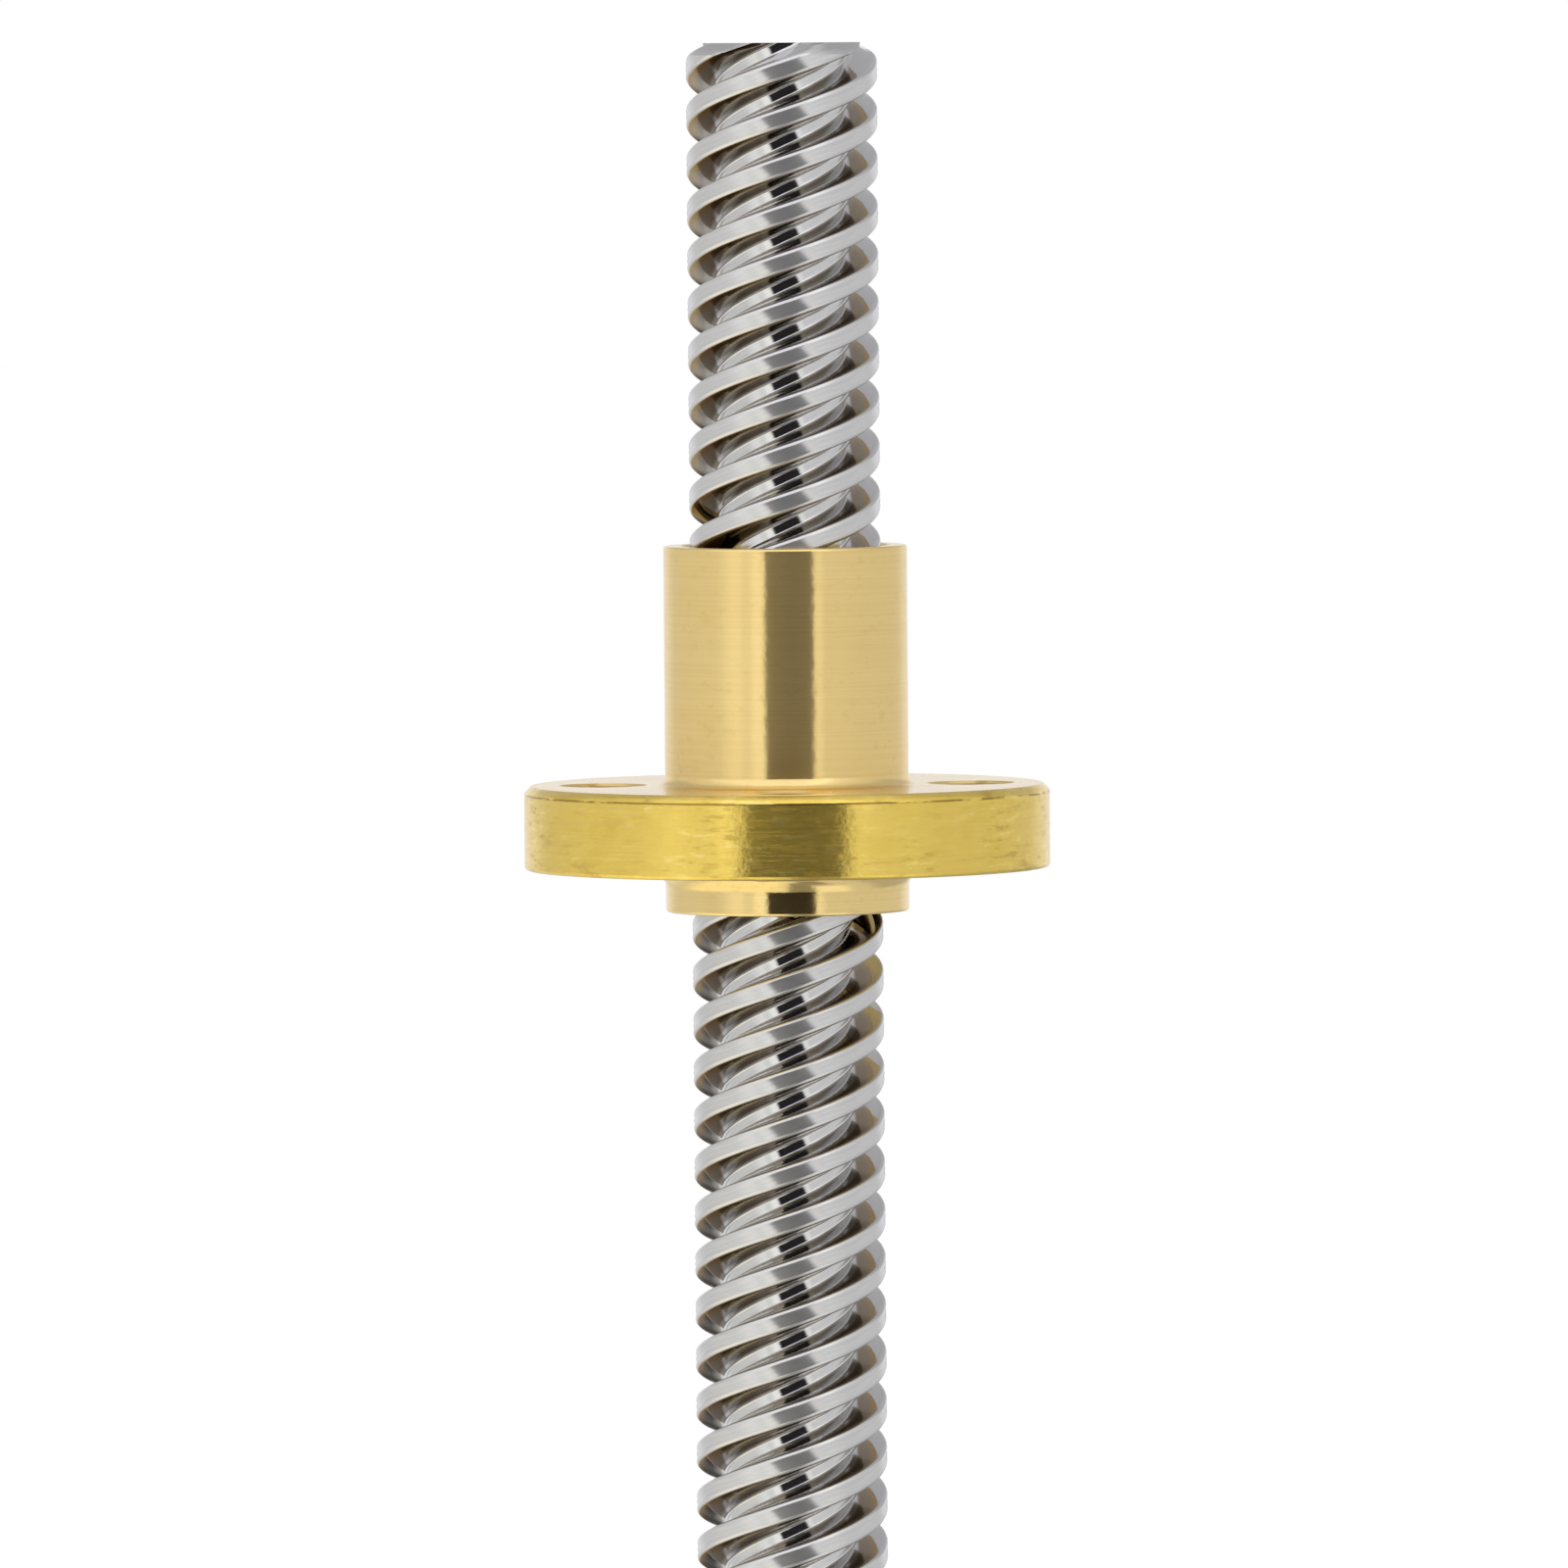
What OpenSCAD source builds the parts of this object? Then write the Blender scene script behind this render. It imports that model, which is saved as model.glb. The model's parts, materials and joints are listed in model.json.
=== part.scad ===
// Two-phase hybrid stepper motor whose shaft is a four-start trapezoidal lead screw,
// with a flanged brass nut on the screw.
// Millimetres. +Z runs along the screw towards its free end. The origin is on the axis,
// in the plane of the motor's mounting face.

/* [Motor] */
// Width of the square motor body
frame_w = 42.3; // [42:0.1:43]
// Length of the body, from the mounting face to the back face
body_l = 34; // [34:1:48]
// Size of the 45 degree cut on each corner of the body
corner_cut = 4.1; // [3.5:0.1:4.5]
// Diameter of the round pilot that centres the motor
pilot_d = 22; // [21.5:0.1:22.5]
// Height of the pilot above the mounting face
pilot_h = 2; // [1.8:0.1:2.5]
// Distance between neighbouring mounting holes
bolt_spacing = 31; // [30.8:0.1:31.2]
// Thickness of the front end cap
front_cap_t = 8; // [8:0.5:9]
// Thickness of the rear end cap
rear_cap_t = 9; // [9:0.5:10]

/* [Lead screw] */
// Length of the screw, from the mounting face to its free end
screw_l = 100; // [98:1:106]
// Outside diameter of the thread
thread_d = 8; // [7.9:0.05:8]
// Distance between neighbouring thread crests
thread_pitch = 2; // [2:2]
// Number of thread starts
thread_starts = 4; // [4:4]
// Width of the flat on top of a thread crest
crest_w = 0.8; // [0.74:0.02:0.84]
// Angle that the crests are turned round the axis
thread_turn = 50.4; // [0:0.1:90]

/* [Flange nut] */
// Diameter of the flange
flange_d = 22; // [21.5:0.1:23]
// Thickness of the flange
flange_t = 3.5; // [3:0.1:4]
// Diameter of the barrel and of the short boss
barrel_d = 10.2; // [10:0.1:10.5]
// Length of the barrel above the flange
barrel_h = 10; // [8:0.5:12]
// Height of the boss below the flange
boss_h = 1.8; // [1.5:0.1:2]
// Diameter of the circle through the flange's holes
nut_bolt_circle_d = 15.4; // [15.4:0.1:16.4]
// Diameter of each hole in the flange
nut_hole_d = 3.5; // [3.2:0.1:3.6]
// Height of the flange's upper face above the motor's mounting face
flange_top_z = 69; // [20:1:80]

/* [Hidden] */
$fn = 96;
over = 0.5;            // how far a cutter runs past the face it cuts

// Heights of the motor's layers
stack_top = -front_cap_t;
stack_bottom = -body_l + rear_cap_t;
back_z = -body_l;
cavity_r = 19;         // hollow in each end cap that holds the coil ends
front_cavity_top = -5;
pilot_bore_r = 5.5;    // opening in the pilot round the screw's collar
hole_chamfer = 0.3;
cap_floor_t = 1.2;
rear_floor = back_z + cap_floor_t;
bearing_boss_r = 10;   // wall round the rear bearing

// Thread form, a 30 degree trapezoid
lead = thread_pitch * thread_starts;
flank_slope = tan(15);
thread_r = thread_d / 2;
thread_depth = 1.25;
nut_crest_gap = 0.25;  // radial room over the screw's crests and under the nut's
flank_gap = 0.1;       // axial room on each side of a thread
steps_per_turn = 20;
section_points = 24;

// Shaft
journal_r = 2.5;
collar_r = 3.5;
collar_top = 2.6;
end_chamfer = 0.5;
shaft_end_gap = 0.7;   // room between the shaft's end and the rear cap's floor
shaft_bottom = rear_floor + shaft_end_gap;

// Ball bearings, 5 x 16 x 5 mm
bearing_r = 8;
bearing_w = 5;
ball_r = 1.4;
ball_count = 7;
ball_circle_r = 5.25;
groove_r = ball_r + 0.05;
race_edge = 1.3;       // radial distance from the ball circle to each race's shoulder
shield_t = 0.25;
shield_inset = 0.2;
shield_r = ball_circle_r + race_edge + 0.45;
shield_gap = 0.15;     // radial room between each shield and the inner race
washer_room = 0.6;     // axial room under the rear bearing for the wave washer
front_bearing_top = 0.6;
front_bearing_z = front_bearing_top - bearing_w;
rear_bearing_z = rear_floor + washer_room;

// Stator
pole_count = 8;
stator_bore_r = 11.1;
shoe_root_r = 11.6;
shoe_back_r = 12.5;
yoke_r = 18.6;
pole_w = 3.4;
tooth_pitch = 7.2;
tooth_angle = 3.2;
teeth_per_pole = 6;
shoe_margin = 0.3;     // angle by which a shoe runs past its last tooth
shoe_half_angle = (teeth_per_pole - 1) / 2 * tooth_pitch + tooth_angle / 2 + shoe_margin;
stack_inset = 0.2;     // how far each side of the stack stands in from the end caps
bond = 0.4;            // how far joined shapes run into each other

// Coils and the insulators under them
arm_w = 3.9;
arm_t = 1;
lip_t = 2.5;
coil_in_r = 13;
coil_out_r = 17.2;
coil_t = 1.5;
coil_gap = 0.05;
coil_half_w = arm_w / 2 + coil_gap + coil_t;
outer_lip_in_r = norm([coil_out_r, coil_half_w]) + 0.1;
outer_lip_out_r = yoke_r - 0.1;
inner_lip_x = shoe_back_r - 0.6;
inner_lip_t = 0.8;
inner_lip_w = 5.2;

// Rotor
rotor_r = 11;
rotor_root_r = 10.45;
rotor_teeth = 50;
cup_l = 6.5;
magnet_t = 2;
magnet_r = 10.2;
rotor_top = stack_top - 1;
rotor_bottom = rotor_top - 2 * cup_l - magnet_t;
spacer_r = 3.5;

// Screws that hold the motor together, M3 pan head
screw_r = 1.45;
screw_fit = 0.05;      // radial room where a screw is threaded in
screw_gap = 0.15;      // radial room where a screw passes through
screw_head_r = 2.75;
screw_head_t = 2;
screw_head_edge = 0.6; // height of the sloping rim of a head
head_recess_r = 3.2;
head_recess_t = 2.5;
screw_tip_gap = 0.2;
mount_thread_depth = 4.5;
mount_tap_r = 1.25;

// Connector, six pins at 2 mm pitch
pin_count = 6;
pin_pitch = 2;
pin_w = 0.5;
pin_fit = 0.02;
pin_mouth_y = -23.6;
pin_tail_y = -15.8;
pin_tail_proud = 0.3;  // how far the tails stand out of the board
plug_w = 14;
plug_h = 5;
plug_gap = 0.05;
plug_mouth_y = -24.9;
plug_inner_y = -17.4;
plug_bottom = rear_floor + 0.2;
plug_top = plug_bottom + plug_h;
pin_z = plug_bottom + plug_h / 2;
board_t = 0.8;
board_z = -28.8;
board_out_r = 18.7;
board_in_r = 11.5;
board_half_angle = 62;
board_gap = 0.2;       // room between the board and the plug
post_angle = 50;
post_circle_r = (outer_lip_in_r + outer_lip_out_r) / 2;
post_r = 0.35;
peg_r = 0.25;
peg_proud = 0.4;       // how far each peg runs out under the board

module at_bolt_corners() {
    for (x = [-1, 1], y = [-1, 1])
        translate([x * bolt_spacing / 2, y * bolt_spacing / 2, 0]) children();
}

// Square outline with its corners cut at 45 degrees
module body_outline(w, cut) {
    h = w / 2;
    c = h - cut;
    polygon([[h, -c], [h, c], [c, h], [-c, h], [-h, c], [-h, -c], [-c, -h], [c, -h]]);
}

module tube(r_out, r_in, h) {
    difference() {
        cylinder(r = r_out, h = h);
        translate([0, 0, -over]) cylinder(r = r_in, h = h + 2 * over);
    }
}

// Wedge of a disc, from -half_angle to half_angle round +X
module sector(r, half_angle) {
    reach = 1.2 * r / cos(half_angle / 2);
    intersection() {
        circle(r = r);
        polygon([
            [0, 0],
            for (k = [-2 : 2]) reach * [cos(k * half_angle / 2), sin(k * half_angle / 2)]
        ]);
    }
}

module front_end_cap() {
    color("gainsboro") difference() {
        union() {
            translate([0, 0, stack_top]) linear_extrude(front_cap_t) body_outline(frame_w, corner_cut);
            cylinder(d = pilot_d, h = pilot_h);
        }
        translate([0, 0, stack_top - over])
            cylinder(r = cavity_r, h = front_cavity_top - stack_top + over);
        translate([0, 0, front_cavity_top - over])
            cylinder(r = bearing_r, h = front_bearing_z + bearing_w - front_cavity_top + over);
        cylinder(r = pilot_bore_r, h = pilot_h + over);
        at_bolt_corners() {
            translate([0, 0, -mount_thread_depth]) cylinder(r = mount_tap_r, h = mount_thread_depth + over);
            translate([0, 0, -hole_chamfer]) cylinder(r1 = mount_tap_r,
                r2 = mount_tap_r + hole_chamfer + over, h = hole_chamfer + over);
            translate([0, 0, stack_top - over])
                cylinder(r = screw_r + screw_fit, h = front_cap_t - mount_thread_depth + over);
        }
    }
}

module rear_end_cap() {
    notch_w = plug_w + 2 * plug_gap;
    side_wall_t = 5;
    color("gainsboro") difference() {
        translate([0, 0, back_z]) linear_extrude(rear_cap_t) body_outline(frame_w, corner_cut);
        translate([0, 0, rear_floor]) tube(cavity_r, bearing_boss_r, rear_cap_t);
        translate([0, 0, rear_bearing_z + bearing_w]) cylinder(r = cavity_r, h = rear_cap_t);
        translate([0, 0, rear_floor]) cylinder(r = bearing_r, h = rear_cap_t);
        translate([-notch_w / 2, -frame_w / 2 - over, plug_bottom - plug_gap])
            cube([notch_w, side_wall_t, rear_cap_t]);
        at_bolt_corners() {
            translate([0, 0, back_z - over]) cylinder(r = screw_r + screw_gap, h = rear_cap_t + 2 * over);
            translate([0, 0, back_z - over]) cylinder(r = head_recess_r, h = head_recess_t + over);
        }
    }
}

// Pan head screw, its head's underside at z = 0 and its shank running up
module pan_head_screw(shank_l) {
    slot_l = 3;
    slot_w = 0.7;
    slot_t = 1.3;
    cylinder(r = screw_r, h = shank_l);
    difference() {
        translate([0, 0, -screw_head_t]) union() {
            translate([0, 0, screw_head_edge]) cylinder(r = screw_head_r, h = screw_head_t - screw_head_edge);
            cylinder(r1 = screw_head_r - screw_head_edge, r2 = screw_head_r, h = screw_head_edge);
        }
        for (a = [0, 90])
            rotate(a) translate([-slot_l / 2, -slot_w / 2, -screw_head_t - over])
                cube([slot_l, slot_w, slot_t + over]);
    }
}

module housing_screws() {
    seat_z = back_z + head_recess_t;
    tip_z = -mount_thread_depth - screw_tip_gap;
    color("dimgray") at_bolt_corners() translate([0, 0, seat_z]) pan_head_screw(tip_z - seat_z);
}

module stator_laminations() {
    color("black") translate([0, 0, stack_bottom]) linear_extrude(stack_top - stack_bottom) difference() {
        union() {
            difference() {
                body_outline(frame_w - 2 * stack_inset, corner_cut);
                circle(r = yoke_r);
            }
            for (p = [0 : pole_count - 1]) rotate(p * 360 / pole_count) {
                translate([shoe_root_r + bond, -pole_w / 2]) square([yoke_r - shoe_root_r, pole_w]);
                difference() {
                    sector(shoe_back_r, shoe_half_angle);
                    circle(r = shoe_root_r);
                }
                for (t = [0 : teeth_per_pole - 1])
                    rotate((t - (teeth_per_pole - 1) / 2) * tooth_pitch) difference() {
                        sector(shoe_root_r + bond / 2, tooth_angle / 2);
                        circle(r = stator_bore_r);
                    }
            }
        }
        at_bolt_corners() circle(r = screw_r + screw_gap);
    }
}

// Plastic spider that keeps the wire off the steel, lying on z = 0
module insulator() {
    arm_l = outer_lip_in_r + bond - inner_lip_x;
    tube(outer_lip_out_r, outer_lip_in_r, lip_t);
    for (p = [0 : pole_count - 1]) rotate(p * 360 / pole_count) {
        translate([inner_lip_x, -arm_w / 2, 0]) cube([arm_l, arm_w, arm_t]);
        translate([inner_lip_x, -inner_lip_w / 2, 0]) cube([inner_lip_t, inner_lip_w, lip_t]);
    }
}

module front_insulator() {
    color("ivory") translate([0, 0, stack_top]) insulator();
}

// The places of the two posts that carry the terminal board
module at_posts() {
    for (a = [-post_angle, post_angle]) rotate(a - 90) translate([post_circle_r, 0, 0]) children();
}

module rear_insulator() {
    board_top = board_z + board_t;
    color("ivory") union() {
        translate([0, 0, stack_bottom]) mirror([0, 0, 1]) insulator();
        at_posts() translate([0, 0, board_top])
            cylinder(r = post_r, h = stack_bottom - lip_t / 2 - board_top);
        at_posts() translate([0, 0, board_z - peg_proud]) cylinder(r = peg_r, h = peg_proud + board_t + bond);
    }
}

// One coil, wound round the pole that points along +X
module coil() {
    top = stack_top + arm_t + coil_gap;
    bottom = stack_bottom - arm_t - coil_gap;
    corner = 0.9;
    straight_w = 2 * (coil_half_w - corner);
    difference() {
        translate([coil_in_r, 0, 0]) rotate([90, 0, 90]) linear_extrude(coil_out_r - coil_in_r) union() {
            translate([-straight_w / 2, bottom - coil_t]) square([straight_w, top - bottom + 2 * coil_t]);
            translate([-coil_half_w, bottom - coil_t + corner])
                square([2 * coil_half_w, top - bottom + 2 * (coil_t - corner)]);
            for (x = [-1, 1], z = [bottom - coil_t + corner, top + coil_t - corner])
                translate([x * straight_w / 2, z]) circle(r = corner);
        }
        translate([coil_in_r - over, coil_t - coil_half_w, bottom])
            cube([coil_out_r - coil_in_r + 2 * over, 2 * (coil_half_w - coil_t), top - bottom]);
    }
}

// Phase A takes the even poles and phase B the odd ones
module phase_coils(first) {
    for (p = [first : 2 : pole_count - 1]) rotate(p * 360 / pole_count) coil();
}

module phase_a_coils() { color("chocolate") phase_coils(0); }

module phase_b_coils() { color("peru") phase_coils(1); }

module pin_places() {
    for (k = [0 : pin_count - 1]) translate([(k - (pin_count - 1) / 2) * pin_pitch, 0, 0]) children();
}

module terminal_board() {
    color("seagreen") translate([0, 0, board_z]) difference() {
        linear_extrude(board_t) difference() {
            rotate(-90) sector(board_out_r, board_half_angle);
            circle(r = board_in_r);
            translate([-plug_w / 2 - board_gap, -board_out_r - over])
                square([plug_w + 2 * board_gap, board_out_r + over + plug_inner_y + board_gap]);
        }
        at_posts() translate([0, 0, -over]) cylinder(r = peg_r + 0.05, h = board_t + 2 * over);
        pin_places() translate([0, pin_tail_y, -over]) cylinder(r = pin_w, h = board_t + 2 * over);
    }
}

module connector_housing() {
    wall = 0.8;
    filler_t = 1.7;        // plate that closes the rear cap's notch above the plug
    filler_y = 0.3 - frame_w / 2;
    socket_l = 6;
    slot_l = 2.5;
    slot_w = 1.8;
    slot_x = 4;
    pin_slot_w = pin_w + 2 * pin_fit;
    color("floralwhite") difference() {
        union() {
            translate([-plug_w / 2, plug_mouth_y, plug_bottom])
                cube([plug_w, plug_inner_y - plug_mouth_y, plug_h]);
            translate([-plug_w / 2, filler_y, plug_top - over])
                cube([plug_w, filler_t, stack_bottom - plug_gap - plug_top + over]);
        }
        translate([-plug_w / 2 + wall, plug_mouth_y - over, plug_bottom + wall])
            cube([plug_w - 2 * wall, socket_l + over, plug_h - 2 * wall]);
        pin_places() translate([-pin_slot_w / 2, plug_mouth_y, pin_z - pin_slot_w / 2])
            cube([pin_slot_w, plug_inner_y - plug_mouth_y + over, pin_slot_w]);
        for (x = [-slot_x, slot_x])
            translate([x - slot_w / 2, plug_mouth_y - over, plug_top - wall - over])
                cube([slot_w, slot_l + over, wall + 2 * over]);
    }
}

module connector_pins() {
    tail_top = board_z + board_t + pin_tail_proud;
    color("gold") pin_places() {
        translate([-pin_w / 2, pin_mouth_y, pin_z - pin_w / 2])
            cube([pin_w, pin_tail_y - pin_mouth_y + pin_w / 2, pin_w]);
        translate([-pin_w / 2, pin_tail_y - pin_w / 2, pin_z - pin_w / 2])
            cube([pin_w, pin_w, tail_top - pin_z + pin_w / 2]);
    }
}

// One toothed half of the rotor, standing on z = 0
module rotor_cup() {
    linear_extrude(cup_l) difference() {
        union() {
            circle(r = rotor_root_r);
            for (t = [0 : rotor_teeth - 1]) rotate(t * 360 / rotor_teeth)
                difference() {
                    sector(rotor_r, tooth_angle / 2);
                    circle(r = rotor_root_r - bond);
                }
        }
        circle(r = journal_r);
    }
}

module front_rotor_cup() {
    color("slategray") translate([0, 0, rotor_top - cup_l]) rotate(tooth_pitch / 2) rotor_cup();
}

// The rear half's teeth stand half a tooth round from the front half's
module rear_rotor_cup() {
    color("slategray") translate([0, 0, rotor_bottom]) rotor_cup();
}

module rotor_magnet() {
    color("darkslategray") translate([0, 0, rotor_bottom + cup_l]) tube(magnet_r, journal_r, magnet_t);
}

module front_rotor_spacer() {
    color("goldenrod") translate([0, 0, rotor_top]) tube(spacer_r, journal_r, front_bearing_z - rotor_top);
}

module rear_rotor_spacer() {
    z = rear_bearing_z + bearing_w;
    color("goldenrod") translate([0, 0, z]) tube(spacer_r, journal_r, rotor_bottom - z);
}

// The groove that the balls run in, round the middle of a bearing standing on z = 0
module ball_groove() {
    translate([0, 0, bearing_w / 2]) rotate_extrude() translate([ball_circle_r, 0]) circle(r = groove_r);
}

module outer_race() {
    difference() {
        tube(bearing_r, ball_circle_r + race_edge, bearing_w);
        ball_groove();
        for (z = [-over, bearing_w - shield_inset - shield_t])
            translate([0, 0, z]) cylinder(r = shield_r, h = shield_inset + shield_t + over);
    }
}

module inner_race() {
    difference() {
        tube(ball_circle_r - race_edge, journal_r, bearing_w);
        ball_groove();
    }
}

module balls() {
    for (k = [0 : ball_count - 1]) rotate(k * 360 / ball_count)
        translate([ball_circle_r, 0, bearing_w / 2]) sphere(r = ball_r);
}

// Crown cage: its ring runs under the balls and its fingers reach just past their middles
module cage() {
    ring_z = 0.6;
    finger_z = 3.2;
    half_w = 0.7;
    pocket_gap = 0.08;
    difference() {
        translate([0, 0, ring_z]) tube(ball_circle_r + half_w, ball_circle_r - half_w, finger_z - ring_z);
        for (k = [0 : ball_count - 1]) rotate(k * 360 / ball_count)
            translate([ball_circle_r, 0, bearing_w / 2]) sphere(r = ball_r + pocket_gap);
    }
}

module shields() {
    for (z = [shield_inset, bearing_w - shield_inset - shield_t])
        translate([0, 0, z]) tube(shield_r, ball_circle_r - race_edge + shield_gap, shield_t);
}

module front_bearing_outer_race() { color("silver") translate([0, 0, front_bearing_z]) outer_race(); }

module front_bearing_inner_race() { color("silver") translate([0, 0, front_bearing_z]) inner_race(); }

module front_bearing_balls() { color("white") translate([0, 0, front_bearing_z]) balls(); }

module front_bearing_cage() { color("tan") translate([0, 0, front_bearing_z]) cage(); }

module front_bearing_shields() { color("lightgray") translate([0, 0, front_bearing_z]) shields(); }

module rear_bearing_outer_race() { color("silver") translate([0, 0, rear_bearing_z]) outer_race(); }

module rear_bearing_inner_race() { color("silver") translate([0, 0, rear_bearing_z]) inner_race(); }

module rear_bearing_balls() { color("white") translate([0, 0, rear_bearing_z]) balls(); }

module rear_bearing_cage() { color("tan") translate([0, 0, rear_bearing_z]) cage(); }

module rear_bearing_shields() { color("lightgray") translate([0, 0, rear_bearing_z]) shields(); }

// Spring washer with three waves, between the rear cap's floor and the rear bearing
module wave_washer() {
    waves = 3;
    steps = 36;
    strip_t = 0.2;
    end_gap = 0.02;
    lift = washer_room - strip_t - 2 * end_gap;
    r_in = 6.2;
    r_out = 7.7;
    function wave_z(a) = rear_floor + end_gap + lift / 2 * (1 - cos(waves * a));
    rings = [
        for (k = [0 : steps - 1])
            let (a = k * 360 / steps, c = cos(a), s = sin(a), z = wave_z(a))
                each [[r_in * c, r_in * s, z], [r_out * c, r_out * s, z],
                      [r_out * c, r_out * s, z + strip_t], [r_in * c, r_in * s, z + strip_t]]
    ];
    faces = [
        for (k = [0 : steps - 1], e = [0 : 3])
            let (i = 4 * k, j = 4 * ((k + 1) % steps), f = (e + 1) % 4)
                each [[i + e, j + e, i + f], [i + f, j + e, j + f]]
    ];
    color("lightsteelblue") polyhedron(points = rings, faces = faces);
}

// Cross-section of a multi-start thread. Its flanks pass through the crest width w at radius w_r.
module thread_section(r_major, r_minor, w, w_r) {
    function half_angle(r) = (w / 2 + (w_r - r) * flank_slope) * 360 / lead;
    between = 180 / thread_starts;
    polygon([
        for (k = [0 : thread_starts - 1])
            let (mid = k * 360 / thread_starts)
                for (p = [
                    [r_minor, -half_angle(r_minor)], [r_major, -half_angle(r_major)], [r_major, 0],
                    [r_major, half_angle(r_major)], [r_minor, half_angle(r_minor)], [r_minor, between]
                ])
                    p[0] * [cos(mid + p[1]), sin(mid + p[1])]
    ]);
}

// Right-hand thread from z = z0 up to z1, in step with every other thread made by this module
module thread(z0, z1, r_major, r_minor, w, w_r) {
    turns = (z1 - z0) / lead;
    translate([0, 0, z0]) rotate(thread_turn + z0 * 360 / lead)
        linear_extrude(z1 - z0, twist = -360 * turns, slices = ceil(turns * steps_per_turn),
            segments = section_points)
            thread_section(r_major, r_minor, w, w_r);
}

module lead_screw() {
    color("lightgray") union() {
        intersection() {
            thread(collar_top, screw_l, thread_r, thread_r - thread_depth, crest_w, thread_r);
            union() {
                cylinder(r = thread_r + over, h = screw_l - end_chamfer - over);
                translate([0, 0, screw_l - end_chamfer - over]) cylinder(
                    r1 = thread_r + over, r2 = thread_r - end_chamfer, h = end_chamfer + over);
            }
        }
        translate([0, 0, front_bearing_z + bearing_w])
            cylinder(r = collar_r, h = collar_top - front_bearing_z - bearing_w);
        translate([0, 0, shaft_bottom])
            cylinder(r = journal_r, h = front_bearing_z + bearing_w - shaft_bottom);
    }
}

// Points of a quarter circle from angle a0 to angle a1, for a rounded inner corner
function quarter(x, y, radius, a0, a1, steps = 6) = [
    for (k = [0 : steps]) [x, y] + radius * [cos(a0 + (a1 - a0) * k / steps), sin(a0 + (a1 - a0) * k / steps)]
];

// The nut's turned outside, with its outer edges broken and its inner corners rounded
module nut_body(bottom, top) {
    barrel_break = 0.1;
    rim_break_top = 0.3;
    rim_break_under = 0.15;
    round_top = 0.45;      // inner corner between the flange and the barrel
    round_under = 0.8;     // inner corner between the flange and the boss
    r = barrel_d / 2;
    rim_r = flange_d / 2;
    under = flange_top_z - flange_t;
    rotate_extrude() polygon(concat(
        [[0, bottom], [r - barrel_break, bottom], [r, bottom + barrel_break]],
        quarter(r + round_under, under - round_under, round_under, 180, 90),
        [[rim_r - rim_break_under, under], [rim_r, under + rim_break_under]],
        [[rim_r, flange_top_z - rim_break_top], [rim_r - rim_break_top, flange_top_z]],
        quarter(r + round_top, flange_top_z + round_top, round_top, 270, 180),
        [[r, top - barrel_break], [r - barrel_break, top], [0, top]]
    ));
}

module flange_nut() {
    bottom = flange_top_z - flange_t - boss_h;
    top = flange_top_z + barrel_h;
    mouth = 0.5;           // depth of the chamfer at each end of the bore
    mouth_r = thread_r + nut_crest_gap + 0.2;
    color("goldenrod") difference() {
        nut_body(bottom, top);
        thread(bottom - over, top + over, thread_r + nut_crest_gap,
            thread_r - thread_depth + nut_crest_gap, crest_w + 2 * flank_gap, thread_r);
        translate([0, 0, bottom - over])
            cylinder(r1 = mouth_r + over, r2 = mouth_r - mouth, h = mouth + over);
        translate([0, 0, top - mouth])
            cylinder(r1 = mouth_r - mouth, r2 = mouth_r + over, h = mouth + over);
        for (a = [0 : 90 : 270]) rotate(a)
            translate([nut_bolt_circle_d / 2, 0, flange_top_z - flange_t - over])
                cylinder(d = nut_hole_d, h = flange_t + 2 * over);
    }
}

front_end_cap();
rear_end_cap();
housing_screws();
stator_laminations();
front_insulator();
rear_insulator();
phase_a_coils();
phase_b_coils();
terminal_board();
connector_housing();
connector_pins();
front_rotor_cup();
rear_rotor_cup();
rotor_magnet();
front_rotor_spacer();
rear_rotor_spacer();
front_bearing_outer_race();
front_bearing_inner_race();
front_bearing_balls();
front_bearing_cage();
front_bearing_shields();
rear_bearing_outer_race();
rear_bearing_inner_race();
rear_bearing_balls();
rear_bearing_cage();
rear_bearing_shields();
wave_washer();
lead_screw();
flange_nut();
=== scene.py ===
import json
import math

import bmesh
import bpy
from mathutils import Matrix, Vector


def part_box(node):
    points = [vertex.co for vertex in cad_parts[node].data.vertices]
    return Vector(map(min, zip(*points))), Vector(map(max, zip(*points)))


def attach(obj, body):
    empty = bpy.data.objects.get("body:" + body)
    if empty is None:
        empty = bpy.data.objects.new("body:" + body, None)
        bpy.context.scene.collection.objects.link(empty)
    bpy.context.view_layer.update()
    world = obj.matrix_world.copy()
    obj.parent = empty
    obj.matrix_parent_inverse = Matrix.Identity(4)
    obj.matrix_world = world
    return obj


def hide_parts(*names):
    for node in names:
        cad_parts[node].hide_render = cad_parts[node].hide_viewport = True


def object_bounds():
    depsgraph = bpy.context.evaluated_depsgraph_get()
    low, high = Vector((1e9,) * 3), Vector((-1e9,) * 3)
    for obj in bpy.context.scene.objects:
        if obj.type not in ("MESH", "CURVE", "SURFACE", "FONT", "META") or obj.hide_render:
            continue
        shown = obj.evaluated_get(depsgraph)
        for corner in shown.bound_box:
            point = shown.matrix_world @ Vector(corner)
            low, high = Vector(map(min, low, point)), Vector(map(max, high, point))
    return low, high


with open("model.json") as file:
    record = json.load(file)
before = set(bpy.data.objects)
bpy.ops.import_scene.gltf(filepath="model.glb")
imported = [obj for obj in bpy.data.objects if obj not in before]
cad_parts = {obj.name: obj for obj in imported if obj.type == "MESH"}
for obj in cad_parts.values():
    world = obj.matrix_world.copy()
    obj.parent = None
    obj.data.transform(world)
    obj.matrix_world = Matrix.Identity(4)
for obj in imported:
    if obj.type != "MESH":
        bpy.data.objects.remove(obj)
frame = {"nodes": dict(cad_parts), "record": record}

MM = 0.001
CAD_BOX = [list(v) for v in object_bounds()]

# ---------------------------------------------------------------- node helpers


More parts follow.
